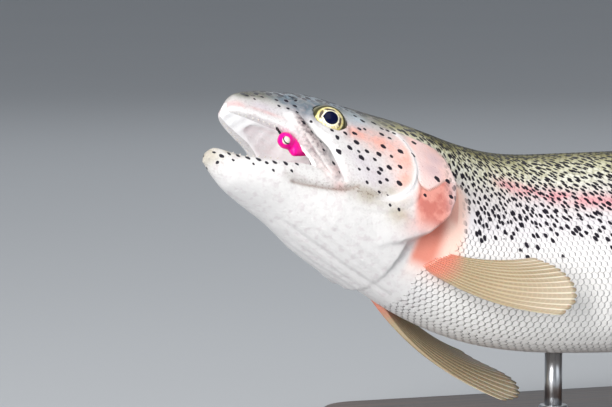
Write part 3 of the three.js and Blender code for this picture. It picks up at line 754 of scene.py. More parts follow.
class Nodes:
    """A material's node tree, with short calls for the nodes that the finishes share."""

    def __init__(self, name: str) -> None:
        """Starts a material with a Principled shader."""
        self.material = bpy.data.materials.new(name)
        self.material.use_nodes = True
        self.tree = self.material.node_tree
        self.shader = self.tree.nodes["Principled BSDF"]

    def node(self, kind: str, inputs: dict, **settings) -> bpy.types.Node:
        """Adds a node.

        Args:
            kind: The node's type.
            inputs: Socket names or numbers with a value, a colour's code or a signal.
            settings: The node's own settings.

        Returns:
            The node.
        """
        node = self.tree.nodes.new(kind)
        for key, value in settings.items():
            setattr(node, key, value)
        for key, value in inputs.items():
            self.feed(node.inputs[key], value)
        return node

    def add(self, kind: str, inputs: dict, output: int | str = 0, **settings) -> Signal:
        """Adds a node and gives one of its outputs."""
        return Signal(self, self.node(kind, inputs, **settings).outputs[output])

    def feed(self, socket: bpy.types.NodeSocket, value: object) -> None:
        """Links a signal to a socket, or sets the socket's own value."""
        if isinstance(value, Signal):
            self.tree.links.new(value.socket, socket)
        else:
            socket.default_value = tone(value) if isinstance(value, str) else value

    def surface(self, **inputs) -> None:
        """Feeds the Principled shader; underscores stand for spaces in socket names."""
        for key, value in inputs.items():
            self.feed(self.shader.inputs[key.replace("_", " ")], value)

    def number(self, name: str) -> Signal:
        """A vertex number of the mesh."""
        return self.add("ShaderNodeAttribute", {}, "Fac", attribute_name=name)

    def place(self, name: str = "body_pos") -> Signal:
        """A vertex vector of the mesh."""
        return self.add("ShaderNodeAttribute", {}, "Vector", attribute_name=name)

    def object_place(self) -> Signal:
        """The Object coordinates."""
        return self.add("ShaderNodeTexCoord", {}, "Object")

    def split(self, vector: Signal) -> list[Signal]:
        """The three parts of a vector."""
        return [Signal(self, part) for part in self.node("ShaderNodeSeparateXYZ", {0: vector}).outputs]

    def stretched(self, vector: Signal, scale: Vector3, turn: float = 0.0) -> Signal:
        """The vector scaled, then turned about z."""
        return self.add("ShaderNodeMapping", {"Vector": vector, "Scale": scale, "Rotation": (0, 0, turn)})

    def noise(self, vector: Signal, scale: float, detail: float = 3.0) -> Signal:
        """Cloudy noise from 0 to 1."""
        return self.add("ShaderNodeTexNoise", {"Vector": vector, "Scale": scale, "Detail": detail})

    def shaken(self, vector: Signal, guide: Signal, scale: float, reach: float) -> Signal:
        """The vector with a cloudy shift of up to `reach` added."""
        cloud = self.add("ShaderNodeTexNoise", {"Vector": guide, "Scale": scale}, "Color")
        shift = self.add("ShaderNodeVectorMath", {0: cloud, 3: reach}, operation="SCALE")
        return self.add("ShaderNodeVectorMath", {0: vector, 1: shift}, operation="ADD")

    def cells(self, vector: Signal, scale: float, output: str = "Distance", flat: bool = False) -> Signal:
        """Distance to, or colour of, the nearest of many points scattered in space or on a flat sheet."""
        inputs = {"Vector": vector, "Scale": scale, "Randomness": 0.85}
        return self.add("ShaderNodeTexVoronoi", inputs, output, voronoi_dimensions="2D" if flat else "3D")

    def lot(self, vector: Signal, scale: float, flat: bool = False) -> Signal:
        """A random number for each of the same scattered points."""
        return self.add("ShaderNodeSeparateColor", {0: self.cells(vector, scale, "Color", flat)})

    def math(self, operation: str, *values: Signal | float) -> Signal:
        """Arithmetic on one or two numbers."""
        return self.add("ShaderNodeMath", dict(enumerate(values)), operation=operation)

    def largest(self, *values: Signal) -> Signal:
        """The largest of several numbers."""
        best = values[0]
        for value in values[1:]:
            best = self.math("MAXIMUM", best, value)
        return best

    def mix(self, amount: Signal | float, a: Paint, b: Paint) -> Signal:
        """Two colours mixed."""
        return self.add("ShaderNodeMix", {0: amount, 6: a, 7: b}, 2, data_type="RGBA")

    def ramp(self, value: Signal, stops: Sequence[tuple[float, str]]) -> Signal:
        """A colour ramp through sRGB codes."""
        node = self.node("ShaderNodeValToRGB", {"Fac": value})
        elements = node.color_ramp.elements
        while len(elements) < len(stops):
            elements.new(0.5)
        for element, (at, code) in zip(elements, stops):
            element.position = at
            element.color = tone(code)
        return Signal(self, node.outputs[0])

    def bump(self, height: Signal, distance: float, strength: float, under: Signal | None = None) -> Signal:
        """A bumped normal.

        Args:
            height: The bump's height, 0 to 1.
            distance: What a height of 1 is, in metres.
            strength: How much of it shows.
            under: Another bump that this one lies on.

        Returns:
            The normal.
        """
        inputs = {"Height": height, "Distance": distance, "Strength": strength}
        if under is not None:
            inputs["Normal"] = under
        return self.add("ShaderNodeBump", inputs)


class Layer(Enum):
    """Which layer of the fish a trout finish is for."""

    SKIN = "skin"
    SCALES = "scales"


FLANK_TONES = ((0.0, "e4e2df"), (0.28, "ece9e8"), (0.44, "e2dde0"), (0.58, "ddd6d4"), (0.7, "eae8da"),
               (0.79, "d8d5b8"), (0.86, "878259"), (0.94, "3b3926"), (1.0, "1a1911"))
HEAD_TONES = ((0.0, "dddbda"), (0.36, "d8d5d6"), (0.54, "c2c0bd"), (0.68, "7c7d72"), (0.82, "454432"),
              (1.0, "27261f"))
# the lilac entry is a painted sheen on the cheek, gill cover and snout
HEAD_PATCHES = (("lilac_sheen", 0.6, "c6bac4"), ("slate", 1.0, "6a7883"), ("frost", 1.0, "b3c2cc"),
                ("pink", 0.95, "f2b0a0"), ("ochre", 0.7, "a69c80"), ("blush", 0.5, "df9d98"))


@dataclass(frozen=True)
class TroutFinish:
    """Wet trout skin: olive back, cream flank with a pink band, white belly, salmon cheek and dark spots."""

    spot_tone: str = "150f1e"
    spot_pitch: float = 318.0

    def flank(self, n: Nodes, belt: Signal, place: Signal, net: Signal) -> Signal:
        """The trunk's ground colour from belly to back, with olive between the scales and a pink band."""
        height = belt * 0.5 + 0.5 + (n.noise(place, 45.0) * 0.16 - 0.08)
        ground = n.ramp(height, FLANK_TONES)
        mesh_lines = n.cells(net, 300.0, flat=True).step(0.3, 0.6)
        olive = mesh_lines * (belt.step(0.12, 0.5) * belt.step(0.9, 0.6))
        ground = n.mix(olive * 0.4, ground, "9a935a")
        band = n.number("stripe") * n.noise(place, 160.0).step(0.15, 0.6)
        return n.mix(band * 0.85, ground, "e79ba2")

    def trunk_spots(self, n: Nodes, belt: Signal, net: Signal) -> Signal:
        """Small slanted spots, dense on the back and thinning out towards the belly."""
        slanted = n.stretched(n.stretched(net, (1, 1, 1), TRUNK_SPOT_SLANT), (0.78, 1.28, 1.0))
        ragged = n.shaken(slanted, net, 380.0, 0.0011)
        lot = n.lot(ragged, self.spot_pitch, True)
        present = (lot - belt.step(0.05, -0.6)).step(0.02, 0.06)
        size = lot * 0.13 + (belt.step(0.1, 0.9) * 0.06 + 0.27)
        return (size - n.cells(ragged, self.spot_pitch, flat=True)).step(-0.04, 0.05) * present

    def head_tone(self, n: Nodes, belt: Signal, place: Signal) -> Signal:
        """The head's colours: olive crown, slate and salmon patches, a white crescent and the gill cover."""
        tint = n.ramp(belt + (n.noise(place, 120.0) * 0.24 - 0.12), HEAD_TONES)
        patchy = n.noise(place, 210.0, 4.0).step(0.28, 0.58)
        for name, amount, code in HEAD_PATCHES:
            tint = n.mix(n.number(name) * (patchy * (0.45 * amount) + 0.55 * amount), tint, code)
        tint = n.mix(n.noise(place, 330.0, 4.0).step(0.5, 0.68) * 0.28, tint, "b9a9ae")
        freckle = n.noise(place, 950.0, 3.0).step(0.5, 0.66) * belt.step(-0.85, -0.45)
        tint = n.mix(freckle * 0.22, tint, "8f8580")
        tint = n.mix(n.number("crease") * (freckle * 0.55 + 0.3), tint, "7d6f66")
        tint = n.mix(n.number("cover"), tint, self.cover_tone(n, place))
        salmon = n.mix(n.noise(place, 170.0, 4.0).step(0.4, 0.62), "c4695c", "df9284")
        tint = n.mix(n.number("sub_cover") * 0.9, tint, salmon)
        strap = n.mix(n.noise(place, 620.0, 4.0).step(0.42, 0.62), "b3a5a4", "75686a")
        tint = n.mix(n.number("maxilla") * 0.95, tint, strap)
        # the preopercle's own white crescent, and a painted highlight behind the maxilla
        tint = n.mix(n.number("white_edge_and_highlight"), tint, "fbf8f8")
        # painted shade: the dark line in the crease behind the maxilla
        tint = n.mix(n.number("groove_shade") * 0.85, tint, "3f3a36")
        return n.mix(n.number("seam") * 0.6, tint, "7c6457")

    def cover_tone(self, n: Nodes, place: Signal) -> Signal:
        """The gill cover's pale pink, with a painted lilac sheen and a few speckles."""
        cover = n.mix(n.noise(place, 75.0).step(0.4, 0.62), "fbcdc1", "f4d5d0")
        # painted sheen: a soft lilac-grey reflection on the gill cover
        cover = n.mix(n.number("lilac_sheen") * 0.7, cover, "cdb0b5")
        speckle = n.cells(place, 700.0).step(0.3, 0.16) * n.noise(place, 150.0).step(0.48, 0.6)
        return n.mix(speckle * 0.5, cover, "b9848a")

    def dark(self, n: Nodes, belt: Signal, place: Signal, net: Signal, trunk: Signal) -> Signal:
        """Where the dark spots are: scattered over trunk and nape, placed one by one on the head."""
        where = n.largest(trunk, belt.step(0.66, 0.8)) - n.number("gill")
        ragged = n.number("spot") + (n.noise(place, 620.0) * 0.9 - 0.47)
        return n.largest(self.trunk_spots(n, belt, net) * where, ragged.step(-0.15, 0.1))

    def lining_tone(self, n: Nodes, place: Signal) -> Signal:
        """The mouth's white and pink lining, redder towards the gullet, and darker there with painted shade.
        """
        # redder flesh deep in the mouth, and painted shade: darker towards the gullet
        gullet = n.ramp(n.number("gullet"), ((0.0, "ffffff"), (0.6, "fdf8f8"), (1.0, "d3a5a0")))
        streak = n.noise(n.stretched(place, (0.35, 1, 1)), 240.0).step(0.5, 0.7)
        return n.mix(streak * 0.22, gullet, "f3dcdc")

    def dress(self, layer: Layer) -> bpy.types.Material:
        """Makes the material.

        Args:
            layer: The skin or the scales over it.

        Returns:
            The material.
        """
        n = Nodes(f"trout_{layer.value}")
        place, net = n.place(), n.place("net_pos")
        belt, trunk = n.number("belt"), n.number("trunk")
        colour = n.mix(trunk, self.head_tone(n, belt, place), self.flank(n, belt, place, net))
        colour = n.mix(n.number("gill") * 0.95, colour, "ffd6c6")
        colour = n.mix(n.number("slit") * 0.85, colour, "dd7a64")
        colour = n.mix(self.dark(n, belt, place, net, trunk) * 0.985, colour, self.spot_tone)
        colour = n.mix(n.number("lining").step(0.3, 0.7), colour, self.lining_tone(n, place))
        wet = n.noise(place, 60.0) * 0.22 + 0.3
        normal = n.bump(n.noise(place, 900.0, 5.0), 0.00025, 0.5)
        gloss, shine = 0.04, 0.05
        if layer is Layer.SKIN:
            gloss, shine = 0.16, 0.16
            normal = n.bump(n.cells(place, 520.0).step(0.1, 0.35), 0.0001, 0.6, normal)
        n.surface(Base_Color=colour, Roughness=wet, Normal=normal, Coat_Weight=gloss, Coat_Roughness=0.12,
                  Specular_IOR_Level=shine)
        return n.material


@dataclass(frozen=True)
class FinFinish:
    """Translucent fin membrane between darker rays, with scattered spots or a pale edge."""

    name: str
    membrane: str
    ray: str
    tip: str
    spots: float
    rays: float
    base: str = "8f8a58"

    def dress(self) -> bpy.types.Material:
        """Makes the material; it reads the fin's own across and out coordinates."""
        n = Nodes(f"fin_{self.name}")
        across, out, _ = n.split(n.place("fin_pos"))
        place = n.place()
        ridge = abs(n.math("SINE", across * (math.pi * self.rays)))
        twig = abs(n.math("SINE", across * (2 * math.pi * self.rays)))
        ray = n.largest(ridge.step(0.55, 0.95), twig.step(0.6, 0.95) * out.step(0.4, 0.75))
        joints = n.math("SINE", out * 190.0).step(0.2, 0.9)
        colour = n.mix(out.step(0.55, 1.0), self.membrane, self.tip)
        colour = n.mix(n.noise(place, 110.0) * 0.25, colour, self.ray)
        colour = n.mix(ray * 0.72, colour, self.ray)
        colour = n.mix(ray * joints * 0.25, colour, self.membrane)
        colour = n.mix(out.step(0.26, 0.06) * 0.85, colour, self.base)
        if self.spots > 0:
            present = n.lot(place, 210.0).step(1 - self.spots, 1.02 - self.spots)
            colour = n.mix(n.cells(place, 210.0).step(0.36, 0.27) * present * 0.9, colour, "231d28")
        n.surface(Base_Color=colour, Roughness=0.36, Normal=n.bump(ray + joints * 0.15, 0.0002, 0.6),
                  Coat_Weight=0.4, Coat_Roughness=0.15, Subsurface_Weight=0.2, Subsurface_Scale=0.001)
        return n.material


@dataclass(frozen=True)
class EyeFinish:
    """A cream and gold iris with brown clouds, a bright ring and a blue-black pupil under a clear gloss."""

    pupil: float = 0.345

    def dress(self) -> bpy.types.Material:
        """Makes the material; it reads the eye's own flat coordinates, in eye radii."""
        n = Nodes("eye")
        flat = n.place("eye_pos")
        level, up, _ = n.split(flat)
        notch = level.step(-0.24, -0.4) * abs(up + 0.02).step(0.16, 0.0)
        ring = n.math("SQRT", level * level + up * up) - notch * 0.045
        fibres = n.noise(n.stretched(flat, (9.0, 9.0, 3.0)), 2.4, 5.0)
        ragged = n.noise(flat, 9.0) * 0.3 - 0.15
        marks = ((up, (0.34, 0.42), (0.56, 0.5), level + 0.1, (0.34, 0.2)),
                 (level, (0.38, 0.45), (0.58, 0.52), up + 0.14, (0.4, 0.28)),
                 (level, (-0.36, -0.44), (-0.6, -0.53), up - 0.14, (0.3, 0.18)))
        brown = n.largest(*[(out + ragged).step(*near) * out.step(*far) * abs(aside).step(*reach)
                            for out, near, far, aside, reach in marks])
        iris = n.mix(n.noise(flat, 5.5, 4.0).step(0.38, 0.62), "f3ecd0", "d8c88e")
        iris = n.mix(fibres.step(0.5, 0.72) * 0.4, iris, "a98f53")
        iris = n.mix(brown * 0.92, iris, "3c2c2c")
        bright = ring.step(self.pupil - 0.01, self.pupil + 0.02)
        bright *= ring.step(self.pupil + 0.09, self.pupil + 0.05)
        iris = n.mix(bright, iris, "fbf6dc")
        iris = n.mix(ring.step(0.54, 0.6) * ring.step(0.7, 0.65) * 0.7, iris, "e6d98c")
        # a dark ring at the iris's edge: partly its own thin dark rim, partly painted shade from the socket
        iris = n.mix((ring + ragged * 0.25).step(0.64, 0.7), iris, "47452f")
        iris = n.mix(ring.step(0.76, 0.9), iris, "83806c")
        colour = n.mix(ring.step(self.pupil + 0.012, self.pupil - 0.012), iris, "03082c")
        n.surface(Base_Color=colour, Roughness=0.4, Coat_Weight=0.1, Coat_Roughness=0.02,
                  Specular_IOR_Level=0.05, Normal=n.bump(fibres, 0.0001, 0.25))
        return n.material


@dataclass(frozen=True)
class PlainFinish:
    """A glossy or metallic surface with fine unevenness and a little variation of tone."""

    name: str
    base: str
    second: str
    roughness: float
    metallic: float = 0.0
    coat: float = 0.0
    grain: float = 900.0
    stretch: Vector3 = (1.0, 1.0, 1.0)

    def dress(self) -> bpy.types.Material:
        """Makes the material."""
        n = Nodes(self.name)
        cloud = n.noise(n.stretched(n.object_place(), self.stretch), self.grain, 4.0)
        n.surface(Base_Color=n.mix(cloud.step(0.35, 0.7), self.base, self.second), Metallic=self.metallic,
                  Roughness=cloud * 0.14 + (self.roughness - 0.07), Coat_Weight=self.coat,
                  Coat_Roughness=0.04, Normal=n.bump(cloud, 0.00008, 0.5))
        return n.material


@dataclass(frozen=True)
class LurePaint:
    """Glossy magenta soft plastic."""

    colour: str = "ec008f"

    def dress(self) -> bpy.types.Material:
        """Makes the material."""
        n = Nodes("lure_paint")
        n.surface(Base_Color=self.colour, Roughness=0.3, Coat_Weight=0.14, Coat_Roughness=0.05,
                  Specular_IOR_Level=0.2)
        return n.material


@dataclass(frozen=True)
class WoodFinish:
    """Satin dark walnut with long grain."""

    def dress(self) -> bpy.types.Material:
        """Makes the material."""
        n = Nodes("base_wood")
        place = n.object_place()
        rings = n.noise(n.stretched(place, (3.0, 42.0, 42.0)), 2.2, 6.0)
        fine = n.noise(n.stretched(place, (8.0, 320.0, 320.0)), 3.0, 4.0)
        colour = n.ramp(rings, ((0.25, "2a1b13"), (0.45, "452c1d"), (0.6, "5a3b27"), (0.8, "37241a")))
        colour = n.mix(fine.step(0.55, 0.7) * 0.4, colour, "1d130d")
        n.surface(Base_Color=colour, Roughness=fine * 0.2 + 0.34, Normal=n.bump(rings + fine, 0.0001, 0.5),
                  Coat_Weight=0.25, Coat_Roughness=0.2)
        return n.material


# ---------------------------------------------------------------- the skin

NEAR_NAPE = 19.5           # height above which the head runs into the back with no slit
COVER_OUTLINE = ((-12, 62), (101, 62), (101.5, 20.5), (105, 13), (108.3, 3), (108.8, -5), (106.5, -16),
                 (99.5, -26), (87.5, -34.5), (74, -41), (58, -46), (48, -60), (-12, -60))
COVER_FLOOR = Curve(((92, -14), (97, -19), (101, -26), (106, -38), (114, -42)))
MAXILLA_PATH = ((25.6, 13.8, 7.7), (30.4, 15.9, 3.7), (35.3, 18.1, -2.7), (43, 20.6, -11.2),
                (50.4, 22.2, -20))
MAXILLA_WIDTH = Curve(((0, 1.8), (0.25, 3.0), (0.5, 2.9), (0.75, 3.6), (0.93, 3.0), (1, 1.3)))
TONGUE_TOP = ((5, -27), (10, -24.5), (25, -24), (60, -25))
TONGUE = Section(Curve(TONGUE_TOP), Curve(tuple((x, z - 8) for x, z in TONGUE_TOP)),
                 Curve(((5, 2.5), (10, 4.2), (25, 6), (60, 7))),
                 Curve(tuple((x, z - 3) for x, z in TONGUE_TOP)), 2.2, 2.2)
THROAT = Section(Curve(((46, -16), (60, -17), (92, -17))),
                 Curve(((46, -38.9), (57, -40.8), (75, -43), (94, -44.4))),
                 Curve(((46, 19.6), (57, 22.2), (75, 25.2), (94, 26.4))),
                 Curve(((46, -21), (57, -22), (75, -19), (94, -18))), 3.2, 2.1)
EYE_RIM = (43.9, 20.6, 9.8)            # where the eyeball comes out of the head
NOSTRILS = ((27.5, 18.2, 0.9), (30.3, 18.6, 1.1))   # along, height, radius
SKIN_NODES = ("head", "jaw_lower", "maxilla_left", "maxilla_right", "preopercle_left", "preopercle_right",
              "gill_cover_left", "gill_cover_right", "tongue", "trunk_front", "trunk_middle", "tail_stem")


def even(first: float, last: float, pitch: float) -> Array:
    """Places from first to last, about a pitch apart."""
    return np.linspace(first, last, max(2, round((last - first) / pitch) + 1))


def flesh(x: Array, angle: Array, grow: float = -COAT_DEPTH) -> Array:
    """The trunk's surface: narrow under the gill covers, full at the shoulder above them.

    Args:
        x: Places along the body.
        angle: Turn round the section from the left flank, towards the back.
        grow: How far outside the outline, in millimetres.

    Returns:
        One body-coordinate point for each place and angle.
    """
    points = TRUNK.ring(x, angle, grow)
    whole = TRUNK_WIDTH(x)
    core = np.where(x < 112, np.minimum(CORE_WIDTH(x) / whole, 1.0), 1.0)
    wide = np.where((x > 84) & (x < 151), SHOULDER_WIDTH(x) / whole, core)
    points[:, 1] *= core + (wide - core) * smooth(8, 26, points[:, 2])
    raised = np.where(x < 92, SKULL_UNDERSIDE(x) / KEEL(x), 1.0)
    points[:, 2] *= np.where(points[:, 2] < 0, raised, 1.0)
    return points


@dataclass
class Skin:
    """The whole fish's skin: a finely sculpted head joined to a plain length of trunk."""

    voxel: float = 0.74
    shell: float = 1.9             # thickness of the gill cover's free edge
    slit_start: float = 96.0
    around: int = 104
    trunk_pitch: float = 4.0
    eye_play: float = 0.25         # between eyeball and socket
    finish: TroutFinish = field(default_factory=TroutFinish)

    def body_core(self) -> Mesh:
        """The trunk's front end, which runs forward under the gill covers."""
        return lofted("core", even(66, SKIN_JOIN + 6, 2), 96, flesh)

    def skull(self) -> Mesh:
        """The head with its cheeks and gill covers, hollowed for the gill slits."""
        snout_tip = [0, 0.25, 0.7, 1.3, 2.1, 3, 4]
        stations = np.concatenate([snout_tip, even(5.2, 112, 1.6)])

        def outline(x: Array, angle: Array) -> Array:
            """The head's section, wider at the nape where the shoulders start."""
            points = HEAD.ring(x, angle)
            nape = smooth(88, 100, x) * smooth(15, 23, points[:, 2])
            points[:, 1] *= 1 + nape * (SHOULDER_WIDTH(x) / HEAD_WIDTH(x) - 1)
            return points

        blank = lofted("skull", stations, 112, outline)
        blank = cut(blank, block(COVER_OUTLINE, -70, 70), "INTERSECT")
        roof = Curve(((88, NEAR_NAPE), (114, NEAR_NAPE)))
        inner = Section(roof, COVER_FLOOR, HEAD_WIDTH, HEAD_LEVEL, 4.0, 2.3)
        slit = lofted("slit", even(self.slit_start, 114, 2), 72, lambda x, a: inner.ring(x, a, -self.shell))
        return cut(blank, slit)

    def mouth_space(self) -> Mesh:
        """The hollow between the jaws."""
        return lofted("mouth", even(12, 84, 2), 64, MOUTH.ring)

    def trough(self) -> Mesh:
        """The hollow in the lower jaw."""
        return lofted("trough", even(-1, 62, 2), 64, TROUGH.ring)

    def opened(self, mesh: Mesh) -> Mesh:
        """Cuts the mouth space and the eye sockets."""
        mesh = cut(mesh, self.mouth_space())
        for side in (1, -1):
            centre = (EYE_PLACE[0], side * EYE_PLACE[1], EYE_PLACE[2])
            mesh = cut(mesh, sphere(centre, EYE_RADIUS + self.eye_play))
        return mesh

    def jaw(self) -> Mesh:
        """The lower jaw, a trough with a knobbed tip."""
        chin_tip = [-6.5, -6.3, -5.9, -5.3]
        stations = np.concatenate([chin_tip, even(-4.5, 60, 1.6)])
        return cut(lofted("jaw", stations, 88, JAW.ring), self.trough())

    def maxilla(self) -> Mesh:
        """The strap of bone along the upper lip."""
        path = rounded(MAXILLA_PATH, 8)

        def outline(t: Array, angle: Array) -> Array:
            """The strap's oval section at a share of its length."""
            spot = t * (len(path) - 1)
            low = np.clip(np.floor(spot).astype(int), 0, len(path) - 2)
            centre = path[low] + (spot - low)[:, None] * (path[low + 1] - path[low])
            along = path[low + 1] - path[low]
            along /= np.linalg.norm(along, axis=1, keepdims=True)
            across = np.cross(np.array([0.0, 1.0, 0.0]), along)
            across /= np.linalg.norm(across, axis=1, keepdims=True)
            out = np.cross(along, across)
            wide = np.cos(angle) * MAXILLA_WIDTH(t)
            thick = np.sin(angle) * (0.5 + 0.95 * np.sqrt(np.clip(1 - (2 * t - 1) ** 4, 0, 1)))
            return centre + across * wide[:, None] + out * thick[:, None]

        return lofted("maxilla", np.linspace(0, 1, 40), 32, outline)

    def throat(self) -> Mesh:
        """The floor of the mouth behind the jaw, which carries the branchiostegal rays."""
        blank = lofted("throat", even(46, 94, 2), 72, THROAT.ring)
        return cut(cut(blank, self.mouth_space()), self.trough())

    def sculpt(self, mesh: Mesh) -> None:
        """Raises and sinks the plates, lips, seams and nostrils of the head."""
        points = coordinates(mesh)
        flat = np.empty(len(mesh.vertices) * 3, dtype=np.float32)
        mesh.vertices.foreach_get("normal", flat)
        normals = flat.reshape(-1, 3).astype(float)
        inside = self.lining(points)
        flank = smooth(0.25, 0.6, normals[:, 1] * np.sign(points[:, 1])) * (1 - inside)
        lift = (self.plates(points) + self.features(points)) * flank
        lift += self.skin_folds(points, normals[:, 2], inside)
        set_coordinates(mesh, points + normals * lift[:, None])

    def plates(self, points: Array) -> Array:
        """How far the plates of the cheek and gill cover, and the seams between them, rise or sink."""
        x, _, z = points.T
        plane = points[:, [0, 2]]

        def ditch(corners: Corners, width: float, depth: float) -> Array:
            """A ditch along a line, fading out at its ends."""
            gap, along = distance_to_line(plane, rounded(corners))
            return -depth * bell(gap, width) * smooth(0, 0.06, along) * smooth(1, 0.94, along)

        def terrace(corners: Corners, height: float, fall: float) -> Array:
            """A plate's edge: raised on the headward side, dropping at the line."""
            line = rounded(corners)
            gap, along = distance_to_line(plane, line)
            ahead = read_at_height(line, z) - x
            raised = np.exp(-np.maximum(ahead, 0) / 5.0) * smooth(-fall, fall, ahead)
            return height * raised * smooth(0, 0.08, along) * smooth(1, 0.9, along) * (gap < 16)

        lift = terrace(PREOPERCLE_EDGE, 1.0, 0.45)
        lift += ditch(OPERCLE_SEAM, 0.55, 0.4) + ditch(INTEROPERCLE_SEAM, 0.6, 0.45)
        lift += ditch(JAW_CREASE, 0.9, 0.8)
        rim, along_rim = distance_to_line(plane, rounded(MAXILLA_LINE))
        above = z > read_line(MAXILLA_LINE, x)
        off_brim = rim - read_line(MAXILLA_BRIM, x) - 0.4
        lift -= 0.8 * bell(off_brim, 0.6) * above * smooth(0.02, 0.15, along_rim)
        for number in range(4):
            start = 14 + 2.2 * number
            stria = ((60 + 3 * number, -7 - start * 0.1), (67 + 3.5 * number, 2 - start * 0.3))
            lift += ditch(stria, 0.6, 0.12)
        return lift

    def features(self, points: Array) -> Array:
        """How far the rims of the eyes, the nostrils and the upper lip rise or sink."""
        x, y, z = points.T
        folded = np.stack([x, np.abs(y), z], axis=1)
        eye_gap = np.linalg.norm(folded - EYE_RIM, axis=1)
        lift = 0.35 * bell(eye_gap - 8.8, 1.3) - 0.35 * bell(eye_gap - 11.4, 1.2)
        for place_x, place_z, radius in NOSTRILS:
            gap = np.hypot(x - place_x, z - place_z)
            lift += -1.3 * bell(gap, radius) + 0.35 * bell(gap - 1.9, 0.6)
        return lift + 0.45 * smooth(23, 6, x) * bell(z - 1.2, 1.7)

    def skin_folds(self, points: Array, rise: Array, inside: Array) -> Array:
        """How far the cheek's unevenness, the throat's rays and fold and the palate's ridges stand out.

        Args:
            points: Body coordinates in millimetres.
            rise: How far each point faces upward, 1 to -1.
            inside: How far each point is inside the mouth, 0 to 1.

        Returns:
            The height at each point, in millimetres.
        """
        x, y, z = points.T
        off_middle = np.abs(y)
        downward = smooth(-0.2, -0.7, rise)
        ripple = np.sin(x * 1.1 + 2.1 * np.sin(z * 0.37)) * np.sin(z * 0.9 + 1.7 * np.sin(x * 0.23))
        lift = 0.05 * ripple * (1 - inside) * smooth(98, 80, x)
        under = downward * smooth(44, 58, x) * smooth(104, 92, x) * smooth(-30, -38, z)
        lift += 0.16 * np.sin(off_middle * 1.3 + 0.04 * x) * under * smooth(3, 6, off_middle)
        lift -= 0.7 * bell(y, 1.3) * downward * smooth(30, 50, x) * (z < -34)
        roof = inside * smooth(-0.3, -0.8, rise) * (x < 60)
        return lift + 0.12 * np.sin(x * 1.05) * roof * smooth(12, 3, off_middle)

    def lining(self, points: Array) -> Array:
        """How far each point is inside the mouth, 0 to 1."""
        x = points[:, 0]
        roof = smooth(-1.1, -0.2, MOUTH.depth(points)) * smooth(10.5, 13, x) * smooth(90, 84, x)
        trough = smooth(-1.0, -0.2, TROUGH.depth(points)) * smooth(-1.5, 0.5, x) * smooth(64, 60, x)
        return np.maximum(roof, trough)

    def head(self) -> Mesh:
        """The sculpted head, cut off square where the plain trunk begins."""
        maxilla = self.maxilla()
        parts = [self.opened(self.skull()), self.opened(self.body_core()), self.jaw(), maxilla,
                 mirror_copy(maxilla), lofted("tongue", even(5, 60, 1.5), 40, TONGUE.ring), self.throat()]
        whole = modified(joined(parts, "head"), "REMESH", mode="VOXEL", voxel_size=self.voxel, adaptivity=0.0)
        bm = bmesh.new()
        bm.from_mesh(whole)
        for _ in range(3):
            relax(bm)
        mesh = mesh_from(bm, "head")
        self.sculpt(mesh)
        bm = bmesh.new()
        bm.from_mesh(mesh)
        relax(bm)
        trim(bm, SKIN_JOIN, 1)
        return mesh_from(bm, "head")

    def build(self) -> Piece:
        """Joins head and trunk, stores the markings and carries the skin onto the spine.

        Returns:
            The skin.
        """
        head = self.head()
        stations = np.concatenate([even(SKIN_JOIN - 2, TAIL_ROOT + 3, self.trunk_pitch), [TAIL_ROOT + 4]])
        bm = bmesh.new()
        bm.from_mesh(lofted("trunk", stations, self.around, flesh))
        trim(bm, SKIN_JOIN + 2, -1)
        bm.from_mesh(head)
        bmesh.ops.bridge_loops(bm, edges=[edge for edge in bm.edges if edge.is_boundary])
        bmesh.ops.recalc_face_normals(bm, faces=bm.faces)
        skin = mesh_from(bm, "skin")
        points = coordinates(skin)
        for name, values in MARKINGS.fields(points, self.lining(points)).items():
            store(skin, name, values)
        set_coordinates(skin, SPINE.carry(points))
        skin.flip_normals()
        log.info("skin: %d faces", len(skin.polygons))
        return finished(skin, "skin", self.finish.dress(Layer.SKIN), SKIN_NODES)


# ---------------------------------------------------------------- scales, teeth, eyes

HALF_GIRTH_STEPS = 160
SCALE_START = ((-34, 101), (-27, 112), (-8, 120.5), (4, 119.5), (11, 110), (20, 102), (23, 93), (26, 91),
               (45, 91))               # height, and how far forward the scales reach there
SCALE_REACH = (0.0, 0.45, 0.82, 1.0, 0.99)         # each row of a scale's points, from root to tucked-in rim
SCALE_ROUNDING = (0.0, 0.06, 0.2, 0.34, 0.34)
SCALE_SPAN = (0.8, 1.0, 0.98, 0.8, 0.8)
SCALE_LENGTH = 2.1         # of the pitch, so that each scale reaches over the next ones
SCALE_WIDTH = 0.78         # of the rows' distance, to each side
BLANK_GAP = 4.0            # between the scales while they lie side by side
MAP_START = 88             # where the bake map starts along the body, how long it is, and each scale's patch
MAP_LENGTH = 400
MAP_PATCH = 0.003


